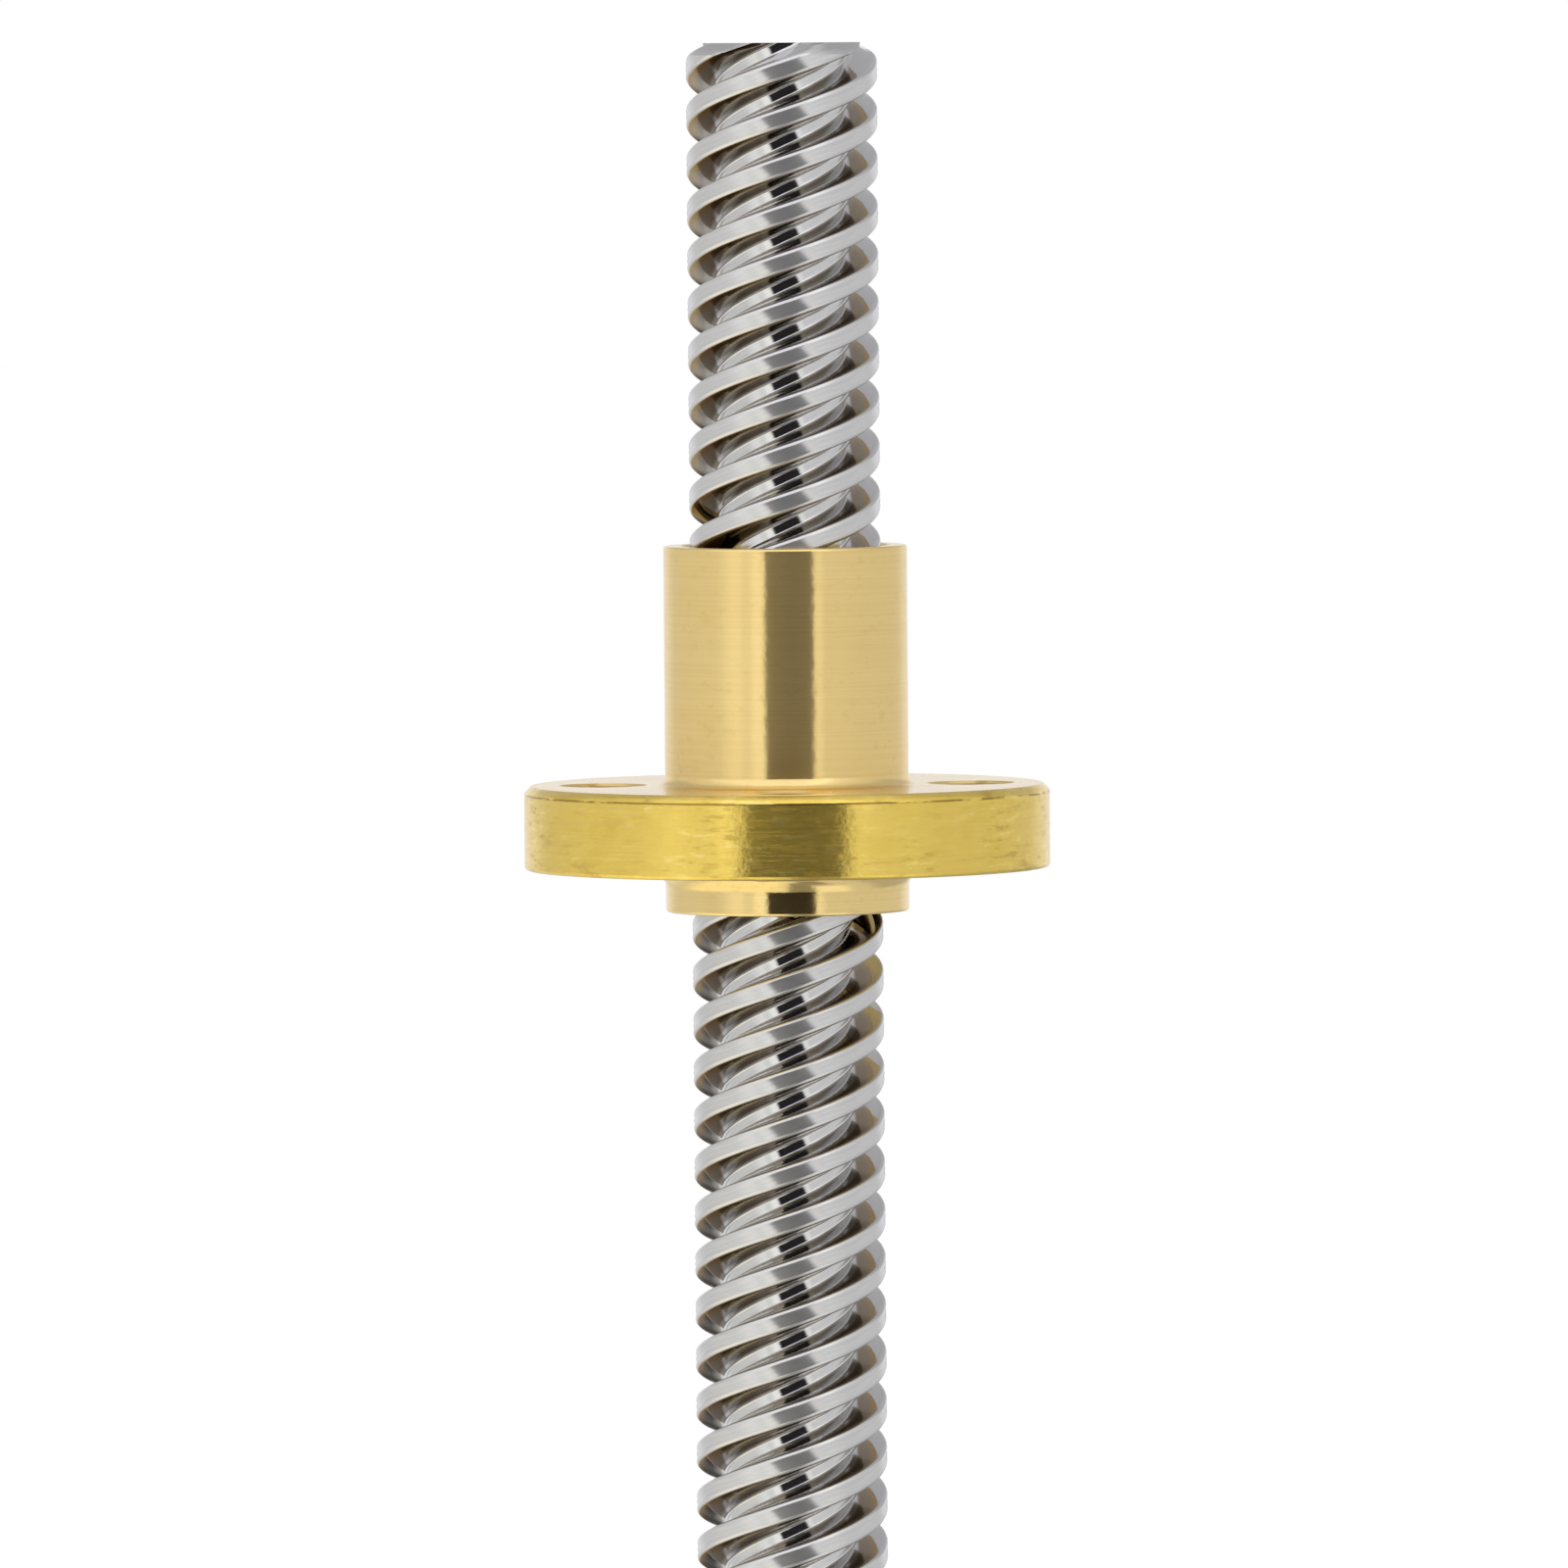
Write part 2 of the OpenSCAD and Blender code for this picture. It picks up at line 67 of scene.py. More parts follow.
class Graph:
    """A material or world node tree with short ways to add maths and textures."""

    def __init__(self, tree):
        self.tree = tree
        tree.nodes.clear()

    def node(self, kind, ins=None, **props):
        n = self.tree.nodes.new(kind)
        for k, v in props.items():
            setattr(n, k, v)
        for k, v in (ins or {}).items():
            self.plug(n.inputs[k], v)
        return n

    def plug(self, socket, value):
        if isinstance(value, bpy.types.NodeSocket):
            self.tree.links.new(value, socket)
        elif isinstance(value, (tuple, list)) and socket.type == "RGBA" and len(value) == 3:
            socket.default_value = (*value, 1.0)
        else:
            socket.default_value = value

    def math(self, op, a, b=0.0, c=0.0, clamp=False):
        n = self.node("ShaderNodeMath", {0: a, 1: b, 2: c}, operation=op, use_clamp=clamp)
        return n.outputs[0]

    def mul(self, first, *others):
        for other in others:
            first = self.math("MULTIPLY", first, other)
        return first

    def plus(self, base, x, amount, clamp=False):
        """The base value plus the given amount of x."""
        return self.math("MULTIPLY_ADD", x, amount, base, clamp=clamp)

    def sway(self, base, noise, amount, clamp=False):
        """The base value moved up and down by a noise whose average is a half."""
        return self.plus(base, self.math("SUBTRACT", noise, 0.5), amount, clamp)

    def ramp(self, x, x0, x1, y0=0.0, y1=1.0):
        ends = {"Value": x, "From Min": x0, "From Max": x1, "To Min": y0, "To Max": y1}
        n = self.node("ShaderNodeMapRange", ends, interpolation_type="SMOOTHSTEP", clamp=True)
        return n.outputs["Result"]

    def mix(self, f, a, b):
        n = self.node("ShaderNodeMix", data_type="RGBA", clamp_factor=True)
        self.plug(n.inputs[0], f)
        self.plug(n.inputs[6], a)
        self.plug(n.inputs[7], b)
        return n.outputs[2]

    def blend(self, f, a, b):
        """One shader turning into another as f goes from 0 to 1."""
        return self.node("ShaderNodeMixShader", {0: f, 1: a, 2: b}).outputs[0]

    def noise(self, vector, scale, detail=3.0, rough=0.55):
        ins = {"Vector": vector, "Scale": scale, "Detail": detail, "Roughness": rough}
        return self.node("ShaderNodeTexNoise", ins).outputs["Fac"]

    def vector(self, x, y, z):
        return self.node("ShaderNodeCombineXYZ", {0: x, 1: y, 2: z}).outputs[0]

    def split(self, vector):
        return self.node("ShaderNodeSeparateXYZ", {0: vector}).outputs

    def bump(self, height, strength, distance, normal=None):
        ins = {"Height": height, "Strength": strength, "Distance": distance}
        if normal is not None:
            ins["Normal"] = normal
        return self.node("ShaderNodeBump", ins).outputs["Normal"]


def material(name):
    """A new material and its node tree."""
    m = bpy.data.materials.new(name)
    m.use_nodes = True
    return m, Graph(m.node_tree)


class Point:
    """The shaded point, in the piece's own metres: place p, radius r and angle a round the axis."""

    def __init__(self, g):
        self.p = g.node("ShaderNodeTexCoord").outputs["Object"]
        self.x, self.y, self.z = g.split(self.p)
        self.r = g.math("SQRT", g.math("ADD", g.mul(self.x, self.x), g.mul(self.y, self.y)))
        self.a = g.math("ARCTAN2", self.y, self.x)
        self.cos_a = g.math("COSINE", self.a)
        self.sin_a = g.math("SINE", self.a)


def close(g, shader):
    g.node("ShaderNodeOutputMaterial", {"Surface": shader})


def tinted(color, scale, lift=0.0):
    """The colour made darker or lighter."""
    return tuple(min(1.0, c * scale + lift) for c in color)


def principled(g, **ins):
    names = {"color": "Base Color", "metal": "Metallic", "rough": "Roughness", "normal": "Normal",
             "spec": "Specular IOR Level", "coat": "Coat Weight", "coat_rough": "Coat Roughness"}
    n = g.node("ShaderNodeBsdfPrincipled", {names[k]: v for k, v in ins.items()})
    return n.outputs[0]


def bare_metal(g, color, normal, rough, dull, haze):
    """Metal with a sharp reflection and, as the share haze, a dull one."""
    lobes = [principled(g, color=color, metal=1.0, rough=r, normal=normal) for r in (rough, dull)]
    close(g, g.blend(haze, *lobes))


def edge_wear(g, radius):
    """1 where a sharp edge is near: the bevel normal turns away from the true normal there."""
    geo = g.node("ShaderNodeNewGeometry").outputs["Normal"]
    soft = g.node("ShaderNodeBevel", {"Radius": radius}, samples=4).outputs["Normal"]
    dot = g.node("ShaderNodeVectorMath", {0: geo, 1: soft}, operation="DOT_PRODUCT").outputs["Value"]
    return g.ramp(dot, 0.995, 0.93)


# ---------------------------------------------------------------- mesh helpers


def linked(name, data):
    """A new object in the scene that shows this mesh, light or camera."""
    ob = bpy.data.objects.new(name, data)
    bpy.context.scene.collection.objects.link(ob)
    return ob


def edit(me, change):
    """Runs change on the mesh as a bmesh and writes the result back."""
    bm = bmesh.new()
    bm.from_mesh(me)
    change(bm)
    bm.to_mesh(me)
    bm.free()


def make_object(name, verts, faces):
    """An object from points in millimetres, with its faces turned outwards."""
    me = bpy.data.meshes.new(name)
    me.from_pydata([Vector(v) * MM for v in verts], [], faces)
    me.validate()
    edit(me, lambda bm: bmesh.ops.recalc_face_normals(bm, faces=bm.faces))
    return linked(name, me)


def sharpen(ob, degrees):
    """Marks every edge that turns by more than this as sharp, so that flats stay flat."""
    limit = math.radians(degrees)

    def mark(bm):
        for e in bm.edges:
            e.smooth = len(e.link_faces) == 2 and e.calc_face_angle(0.0) < limit

    ob.data.shade_smooth()
    edit(ob.data, mark)


def weigh(ob):
    """Shades by the larger of the faces that meet, so that small roundings don't bend the flats' light."""
    m = ob.modifiers.new("weighted", "WEIGHTED_NORMAL")
    m.keep_sharp = True
    m.weight = 100


def arc(cx, cz, r, a0, a1, n):
    """The n + 1 points of an arc from angle a0 to a1, in degrees."""
    turns = [math.radians(a0 + (a1 - a0) * i / n) for i in range(n + 1)]
    return [(cx + r * math.cos(t), cz + r * math.sin(t)) for t in turns]


def circle(x, y, r, n):
    """The n points of a circle."""
    turns = [2 * math.pi * i / n for i in range(n)]
    return [(x + r * math.cos(t), y + r * math.sin(t)) for t in turns]


def lathe(name, profile, segments=192):
    """Turns a closed profile of (radius, z) points about Z. A radius of 0 becomes one pole."""
    verts, rings, faces = [], [], []
    for r, z in profile:
        start = len(verts)
        if r == 0:
            verts.append((0.0, 0.0, z))
            rings.append([start] * segments)
            continue
        verts += [(x, y, z) for x, y in circle(0, 0, r, segments)]
        rings.append(list(range(start, start + segments)))
    for a, b in zip(rings, rings[1:] + rings[:1]):
        a_is_pole, b_is_pole = a[0] == a[1], b[0] == b[1]
        if a_is_pole and b_is_pole:
            continue
        for i in range(segments):
            k = (i + 1) % segments
            if a_is_pole:
                faces.append((a[0], b[k], b[i]))
            elif b_is_pole:
                faces.append((a[i], a[k], b[0]))
            else:
                faces.append((a[i], a[k], b[k], b[i]))
    return make_object(name, verts, faces)


def ring_quads(n, rows):
    """The four-sided faces round a stack of rings of n points each."""
    return [(j * n + i, j * n + (i + 1) % n, (j + 1) * n + (i + 1) % n, (j + 1) * n + i)
            for j in range(rows) for i in range(n)]


def ring_caps(n, rows):
    """The flat faces that close the first and the last ring of the stack."""
    return [tuple(reversed(range(n))), tuple(range(rows * n, (rows + 1) * n))]


def prism(name, outline, z0, z1):
    n = len(outline)
    verts = [(x, y, z) for z in (z0, z1) for x, y in outline]
    return make_object(name, verts, ring_caps(n, 1) + ring_quads(n, 1))


def block(name, lo, hi):
    outline = [(lo[0], lo[1]), (hi[0], lo[1]), (hi[0], hi[1]), (lo[0], hi[1])]
    return prism(name, outline, lo[2], hi[2])


def moved(ob, x, y):
    ob.data.transform(Matrix.Translation(Vector((x, y, 0.0)) * MM))
    return ob


def baked(ob):
    """The object's mesh with its modifiers applied."""
    dg = bpy.context.evaluated_depsgraph_get()
    made = bpy.data.meshes.new_from_object(ob.evaluated_get(dg))
    ob.modifiers.clear()
    old = ob.data
    ob.data = made
    bpy.data.meshes.remove(old)
    return ob


def bevelled(ob, width, segments=3, angle=30.0):
    """The object with its sharp edges rounded off by this width in millimetres."""
    m = ob.modifiers.new("edges", "BEVEL")
    m.width = width * MM
    m.segments = segments
    m.limit_method = "ANGLE"
    m.angle_limit = math.radians(angle)
    return baked(ob)


def cleaned(ob):
    """Welds points that a cut left on top of each other and removes the empty faces between them."""
    near = 0.0005 * MM

    def weld(bm):
        bmesh.ops.remove_doubles(bm, verts=bm.verts, dist=near)
        bmesh.ops.dissolve_degenerate(bm, dist=near, edges=bm.edges)

    edit(ob.data, weld)
    return ob


def cut(ob, *tools, operation="DIFFERENCE"):
    """Takes the tools away from the object, or adds them to it, and removes them from the scene."""
    for t in tools:
        m = ob.modifiers.new("cut", "BOOLEAN")
        m.operation = operation
        m.object = t
        m.solver = "EXACT"
    baked(ob)
    for t in tools:
        bpy.data.objects.remove(t)
    return cleaned(ob)


def join(name, obs):
    """One object from several, each keeping its own closed shell."""
    bm = bmesh.new()
    for o in obs:
        bm.from_mesh(o.data)
        bpy.data.objects.remove(o)
    me = bpy.data.meshes.new(name)
    bm.to_mesh(me)
    bm.free()
    return linked(name, me)


def piece(ob, mat, body, node):
    """The finished object takes the CAD node's place on its body."""
    ob.data.materials.clear()
    ob.data.materials.append(mat)
    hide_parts(node)
    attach(ob, body)


# ---------------------------------------------------------------- sizes in millimetres


def box_mm(node):
    """The lowest and the highest corner of a CAD node, in millimetres."""
    return [[c / MM for c in corner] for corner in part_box(node)]


mounts = {m["name"]: m for m in frame["record"]["mounts"]}

# the screw and the nut
SCREW_BOTTOM, SCREW_TOP = (v[2] for v in box_mm("lead_screw"))
NUT_BOTTOM, NUT_TOP = (v[2] for v in box_mm("flange_nut"))
THREAD_R = round(box_mm("lead_screw")[1][0], 2)
FLANGE_R = round(box_mm("flange_nut")[1][0], 2)
FLANGE_TOP = mounts["nut_barrel"]["pos_m"][2] / MM
FLANGE_T = 3.5
BARREL_R = mounts["nut_barrel"]["dims"]["r_mm"]
NUT_PCD = mounts["nut_bolts"]["dims"]["pcd_mm"]
NUT_HOLE_R = mounts["nut_bolts"]["dims"]["hole_r_mm"]
LEAD, PITCH, STARTS = 8.0, 2.0, 4
THREAD_TURN = 50.4  # degrees that the thread is turned about the axis at height 0
THREAD_DEPTH, CREST_W = 1.25, 0.8
SLOPE = math.tan(math.radians(15))  # the flanks lean by half of the trapezoidal thread's 30 degrees
COLLAR_R, COLLAR_TOP, JOURNAL_R = 3.5, 2.6, 2.5

# the motor
FRAME_H = box_mm("front_end_cap")[1][0]
PILOT_H = box_mm("front_end_cap")[1][2]
PILOT_R = mounts["pilot"]["dims"]["r_mm"]
BACK_Z = box_mm("rear_end_cap")[0][2]
STACK_H = box_mm("stator_laminations")[1][0]
STACK_BOTTOM, STACK_TOP = (v[2] for v in box_mm("stator_laminations"))
SHEET_T, BORE_R = 0.5, 11.1
BOLT = mounts["motor_bolts"]["dims"]["spacing_x_mm"] / 2
CORNERS = [(x * BOLT, y * BOLT) for x in (-1, 1) for y in (-1, 1)]
BEARING_R = box_mm("front_bearing_outer_race")[1][0]
FRONT_RACE_TOP = box_mm("front_bearing_outer_race")[1][2]
REAR_RACE_TOP = box_mm("rear_bearing_outer_race")[1][2]
CORNER_CUT, CAP_EDGE = 4.1, 0.25
CAVITY_R, CAVITY_EDGE = 19.0, 0.4
REAR_FLOOR = BACK_Z + 1.2
SCREW_SEAT = BACK_Z + 2.5
PAST = 1.0  # how far a cutting tool passes the face that it opens


def thread_profile(r_major, r_minor, crest_w, crest_fillet, root_fillet, steps=4):
    """One start of the thread as (axial place, radius) points, from the middle of a root to the next."""
    corner = 75.0  # the outline turns through this angle at the crest's edge and at the root's
    crest_share, root_share = 0.92, 0.75  # where one more point lies on the crest's and on the root's flat

    def half_width(r):
        return crest_w / 2 + (THREAD_R - r) * SLOPE

    tangent = math.tan(math.radians(corner / 2))
    crest_x = half_width(r_major) - crest_fillet * tangent
    root_x = half_width(r_minor) + root_fillet * tangent
    crest = arc(crest_x, r_major - crest_fillet, crest_fillet, 90, 90 - corner, steps)
    root = arc(root_x, r_minor + root_fillet, root_fillet, 270 - corner, 270, steps)
    middle = [(a + b) / 2 for a, b in zip(crest[-1], root[0])]
    near_root = (PITCH / 2 * (1 - root_share) + root[-1][0] * root_share, r_minor)
    side = [(crest_x * crest_share, r_major)] + crest + [middle] + root + [near_root]
    mirrored = [(-s, r) for s, r in reversed(side)]
    return [(-PITCH / 2, r_minor)] + mirrored + [(0.0, r_major)] + side


def helical(z0, z1, profile, rows, cap=lambda z: math.inf):
    """Closed solid of a multi-start right-hand thread. cap(z) limits the radius, for a chamfered end."""
    n = len(profile) * STARTS
    verts = []
    for j in range(rows + 1):
        z = z0 + (z1 - z0) * j / rows
        for k in range(STARTS):
            for s, r in profile:
                a = math.radians(THREAD_TURN + (z + s) * 360 / LEAD + k * 360 / STARTS)
                r = min(r, cap(z))
                verts.append((r * math.cos(a), r * math.sin(a), z))
    return verts, ring_quads(n, rows) + ring_caps(n, rows)


# ---------------------------------------------------------------- materials


def steel_screw_material():
    """Polished steel with drawing marks along the thread, hazier crests, and painted shade and golden
    reflection on downward flanks.
    """
    m, g = material("polished_screw_steel")
    at = Point(g)

    def below_crest(depth):
        return (THREAD_R - depth) * MM

    # the marks follow the helix: this runs across the thread and repeats every pitch, so it has no seam
    across = g.math("SUBTRACT", at.z, g.mul(at.a, LEAD * MM / (2 * math.pi)))
    across = g.math("FLOORED_MODULO", across, PITCH * MM)
    drawn, packed = 0.0012, 6.0
    streaks = g.vector(g.mul(at.cos_a, drawn), g.mul(at.sin_a, drawn), g.mul(across, packed))
    lines = g.noise(streaks, 2600.0, 4.0, 0.6)
    cloud = g.noise(at.p, 900.0, 3.0, 0.5)
    crest = g.ramp(at.r, below_crest(0.35), below_crest(0.10))
    rough = g.plus(0.05, crest, 0.10)
    rough = g.sway(rough, cloud, 0.06)
    rough = g.sway(rough, lines, 0.05, clamp=True)
    grey, light_grey, gold = (0.58, 0.575, 0.57), (0.65, 0.65, 0.65), (0.36, 0.23, 0.07)
    # painted shade: the flank's colour when it faces down and when it faces up, then the same after a bounce
    shaded_flank, lit_flank = (0.28, 0.25, 0.21), (0.56, 0.55, 0.55)
    bounced_under, bounced_above = (0.27, 0.22, 0.16), (0.19, 0.145, 0.10)
    base = g.mix(g.ramp(lines, 0.3, 0.75), grey, light_grey)
    # painted shade: flanks that face down are darker and warmer than flanks that face up, with a painted
    # golden reflection under each crest, and light that has bounced between two flanks is painted darker and
    # warmer
    facing = g.split(g.node("ShaderNodeNewGeometry").outputs["Normal"])[2]
    upward = g.ramp(facing, -0.3, 0.3)
    flank = g.ramp(at.r, below_crest(1.10), below_crest(0.95))
    flank = g.mul(flank, g.ramp(at.r, below_crest(0.10), below_crest(0.25)))
    base = g.mix(flank, base, g.mix(upward, shaded_flank, lit_flank))
    bounced = g.ramp(g.node("ShaderNodeLightPath").outputs["Ray Depth"], 0.0, 1.0)
    base = g.mix(g.mul(bounced, flank), base, g.mix(upward, bounced_under, bounced_above))
    # painted golden reflection: a gold tint on the shoulders that face down, just under each crest
    golden = g.ramp(at.r, below_crest(0.55), below_crest(0.28))
    golden = g.mul(golden, g.ramp(at.r, below_crest(0.02), below_crest(0.12)))
    golden = g.mul(golden, g.ramp(facing, -0.15, -0.45), g.ramp(cloud, 0.25, 0.5, 0.5, 0.9))
    base = g.mix(golden, base, gold)
    nrm = g.bump(lines, 0.10, 0.00002)
    nrm = g.bump(cloud, 0.05, 0.00004, nrm)
    bare_metal(g, base, nrm, rough, 0.42, g.plus(0.03, crest, 0.34))
    return m


def nut_brass_material():
    """Turned brass: fine rings from the lathe, a yellower and rougher rim, and mottled patches."""
    m, g = material("turned_brass")
    at = Point(g)
    top, under = FLANGE_TOP * MM, (FLANGE_TOP - FLANGE_T) * MM
    rim = g.ramp(at.r, (FLANGE_R - 0.6) * MM, (FLANGE_R - 0.1) * MM)
    flat = g.ramp(at.r, (BARREL_R + 0.2) * MM, (BARREL_R + 0.5) * MM)
    rings = g.vector(at.z, at.r, g.mul(at.cos_a, 0.00004))
    fine = g.noise(rings, 9000.0, 4.0, 0.65)
    broad = g.noise(rings, 1700.0, 2.0, 0.5)
    cloud = g.noise(at.p, 260.0, 4.0, 0.55)
    blotch = g.noise(at.p, 1100.0, 3.0, 0.6)
    # short marks, drawn out along the turning direction, that lie in clusters
    drawn = 0.0026
    drag = g.noise(g.vector(g.mul(at.cos_a, drawn), g.mul(at.sin_a, drawn), at.z), 3300.0, 3.0, 0.6)
    cluster = g.ramp(g.noise(at.p, 420.0, 2.0, 0.5), 0.42, 0.58, 0.25, 1.0)
    marks = g.mul(g.ramp(drag, 0.52, 0.66), g.plus(0.25, rim, 0.75), cluster)
    # painted highlights: short pale yellow glints on the rim between the marks
    glints = g.mul(g.ramp(drag, 0.44, 0.34), cluster, rim)
    # a dark line where the bevel meets the rim
    bevel_line = g.mul(g.ramp(at.z, top - 0.00042, top - 0.00036), g.ramp(at.z, top - 0.00028, top - 0.00032))
    bevel_line = g.mul(bevel_line, rim, g.ramp(drag, 0.36, 0.52))
    brass, pale_brass = (0.80, 0.60, 0.25), (0.84, 0.66, 0.30)
    rim_brass, pale_rim_brass = (0.74, 0.535, 0.09), (0.83, 0.635, 0.155)
    ring_brown, mark_brown, bevel_line_brown = (0.72, 0.50, 0.17), (0.46, 0.30, 0.06), (0.22, 0.12, 0.03)
    glint_yellow = (0.95, 0.78, 0.30)
    base = g.mix(cloud, brass, pale_brass)
    base = g.mix(rim, base, g.mix(blotch, rim_brass, pale_rim_brass))
    base = g.mix(g.mul(g.ramp(fine, 0.35, 0.7), 0.35), base, ring_brown)
    base = g.mix(g.mul(marks, 0.50), base, mark_brown)
    base = g.mix(g.mul(glints, 0.45), base, glint_yellow)
    base = g.mix(g.mul(bevel_line, 0.75), base, bevel_line_brown)
    rough = g.sway(0.11, fine, 0.12)
    rough = g.plus(rough, rim, 0.05)
    rough = g.plus(rough, marks, 0.10)
    rough = g.sway(rough, cloud, 0.06, clamp=True)
    strength = g.plus(0.05, flat, 0.20)
    nrm = g.bump(fine, strength, 0.00002)
    nrm = g.bump(broad, g.mul(strength, 0.8), 0.00004, nrm)
    nrm = g.bump(blotch, g.plus(0.20, rim, 0.16), 0.00005, nrm)
    nrm = g.bump(drag, g.plus(0.04, rim, 0.15), 0.00004, nrm)
    above_boss = g.ramp(at.z, under, under + 0.00005)
    haze = g.plus(g.plus(0.08, above_boss, 0.23), rim, -0.09)
    bare_metal(g, base, nrm, rough, 0.5, haze)
    return m


def worn_metal(name, base, rough, grain, depth, turned=0.0, haze=0.15, worn=None):
    """Bare metal. grain is the mark size and depth its height, in metres. turned goes from an even blasted
    texture at 0 to lathe rings at 1. haze is the share of dull reflection, worn the rubbed edges' colour."""
    m, g = material(name)
    at = Point(g)
    rings = g.vector(at.z, at.r, g.mul(at.cos_a, grain * 0.2))
    even = g.noise(at.p, 1.0 / grain, 4.0, 0.6)
    lathe_marks = g.noise(rings, 1.0 / grain, 3.0, 0.6)
    mark = g.math("ADD", g.mul(even, 1.0 - turned), g.mul(lathe_marks, turned))
    cloud = g.noise(at.p, 70.0, 4.0, 0.6)
    color = g.mix(g.ramp(cloud, 0.30, 0.72), tinted(base, 0.82), base)
    color = g.mix(g.mul(g.ramp(mark, 0.38, 0.66), 0.45), color, tinted(base, 0.66))
    rough = g.sway(rough, cloud, 0.16)
    rough = g.sway(rough, mark, 0.12, clamp=True)
    if worn:
        edge = g.mul(edge_wear(g, 0.00025), g.ramp(cloud, 0.3, 0.6, 0.35, 1.0))
        color = g.mix(edge, color, worn)
        rough = g.plus(rough, edge, -0.12, clamp=True)
    nrm = g.bump(mark, 0.35, depth)
    nrm = g.bump(cloud, 0.08, depth * 4, nrm)
    bare_metal(g, color, nrm, rough, 0.6, haze)
    return m


def varnished_stack_material():
    """Black varnish over stacked sheets, each a little different, and bare steel teeth in the bore."""
    m, g = material("varnished_laminations")
    at = Point(g)
    black, dark_grey, seam_black = (0.010, 0.010, 0.0105), (0.026, 0.026, 0.028), (0.004, 0.004, 0.004)
    rubbed_grey, steel_grey = (0.14, 0.14, 0.15), (0.42, 0.42, 0.44)
    place = g.mul(at.z, 1.0 / (SHEET_T * MM))
    which = g.math("FLOOR", place)
    sheet = g.node("ShaderNodeTexWhiteNoise", {"W": which}, noise_dimensions="1D").outputs["Value"]
    seam = g.math("ABSOLUTE", g.math("SUBTRACT", g.math("FRACT", place), 0.5))
    speck = g.noise(at.p, 2600.0, 3.0, 0.6)
    smear = g.noise(g.vector(at.x, at.y, g.mul(at.z, 12.0)), 260.0, 3.0, 0.55)
    tone = g.plus(g.mul(smear, 0.45), sheet, 0.55)
    color = g.mix(tone, black, dark_grey)
    color = g.mix(g.ramp(seam, 0.36, 0.48, 0.0, 0.8), color, seam_black)
    rubbed = g.mul(edge_wear(g, 0.00018), g.ramp(smear, 0.5, 0.75))
    color = g.mix(g.mul(rubbed, 0.5), color, rubbed_grey)
    rough = g.sway(0.36, sheet, 0.10)
    rough = g.sway(rough, speck, 0.10, clamp=True)
    nrm = g.bump(speck, 0.15, 0.00002)
    nrm = g.bump(smear, 0.10, 0.00003, nrm)
    varnish = principled(g, color=color, rough=rough, normal=nrm, spec=0.5)
    steel = principled(g, color=steel_grey, metal=1.0, rough=0.3, normal=nrm)
    inside = g.ramp(at.r, (BORE_R + 0.6) * MM, (BORE_R + 0.1) * MM)
    close(g, g.blend(inside, varnish, steel))
    return m


def plastic_material(name, base, rough, grain=0.0004, depth=0.00002):
    """Moulded plastic with a fine grain and slightly paler edges. grain and depth are in metres."""
    m, g = material(name)
    at = Point(g)
    fine = g.noise(at.p, 1.0 / grain, 3.0, 0.55)
    cloud = g.noise(at.p, 120.0, 3.0, 0.5)
    color = g.mix(g.ramp(cloud, 0.3, 0.7), tinted(base, 0.93), base)
    color = g.mix(g.mul(edge_wear(g, 0.0002), 0.25), color, tinted(base, 1.15, 0.02))
    rough = g.sway(rough, fine, 0.15, clamp=True)
    close(g, principled(g, color=color, rough=rough, normal=g.bump(fine, 0.25, depth), spec=0.5))
    return m


def winding_material(name, base):
    """Enamelled wire: fine turns that run round each coil, with a clear glossy coat."""
    m, g = material(name)
    at = Point(g)
    wire_d = 0.00021
    turn = g.math("SINE", g.mul(at.r, 2 * math.pi / wire_d))
    uneven = g.noise(at.p, 900.0, 2.0, 0.5)
    # painted shade: the grooves between the turns are darker
    color = g.mix(g.ramp(turn, -1.0, 0.6), tinted(base, 0.35), base)
    color = g.mix(g.mul(uneven, 0.25), color, tinted(base, 0.6))
    nrm = g.bump(g.math("ADD", turn, uneven), 0.6, 0.00005)
    close(g, principled(g, color=color, metal=0.9, rough=0.32, normal=nrm, coat=0.6, coat_rough=0.15))
    return m


def board_material():
    """Green board with ring-shaped tracks and a fine glass weave."""
    m, g = material("glass_fibre_board")
    at = Point(g)
    weave_rate, track_pitch = 14000.0, 0.0012
    green, track_green = (0.010, 0.075, 0.030), (0.020, 0.130, 0.050)
    weave = g.mul(g.math("SINE", g.mul(at.x, weave_rate)), g.math("SINE", g.mul(at.y, weave_rate)))
    tracks = g.ramp(g.math("SINE", g.mul(at.r, 2 * math.pi / track_pitch)), 0.2, 0.35)
    color = g.mix(tracks, green, track_green)
    nrm = g.bump(tracks, 0.4, 0.00003)
    nrm = g.bump(weave, 0.1, 0.00001, nrm)
    close(g, principled(g, color=color, rough=0.32, normal=nrm, coat=0.3))
    return m


MAT = {
    "screw": steel_screw_material(),
    "nut": nut_brass_material(),
    "cap": worn_metal(
        "cast_aluminium", (0.64, 0.65, 0.665), rough=0.33, grain=0.00022, depth=0.00003,
        turned=0.45, haze=0.22, worn=(0.84, 0.85, 0.86)),
    "zinc": worn_metal(
        "zinc_plated_steel", (0.55, 0.56, 0.58), rough=0.26, grain=0.0005, depth=0.00001,
        turned=0.4, haze=0.12, worn=(0.75, 0.75, 0.77)),
    "lamination": varnished_stack_material(),
    "connector": plastic_material(
        "moulded_connector", (0.74, 0.71, 0.62), rough=0.34, grain=0.0005, depth=0.00001),
}

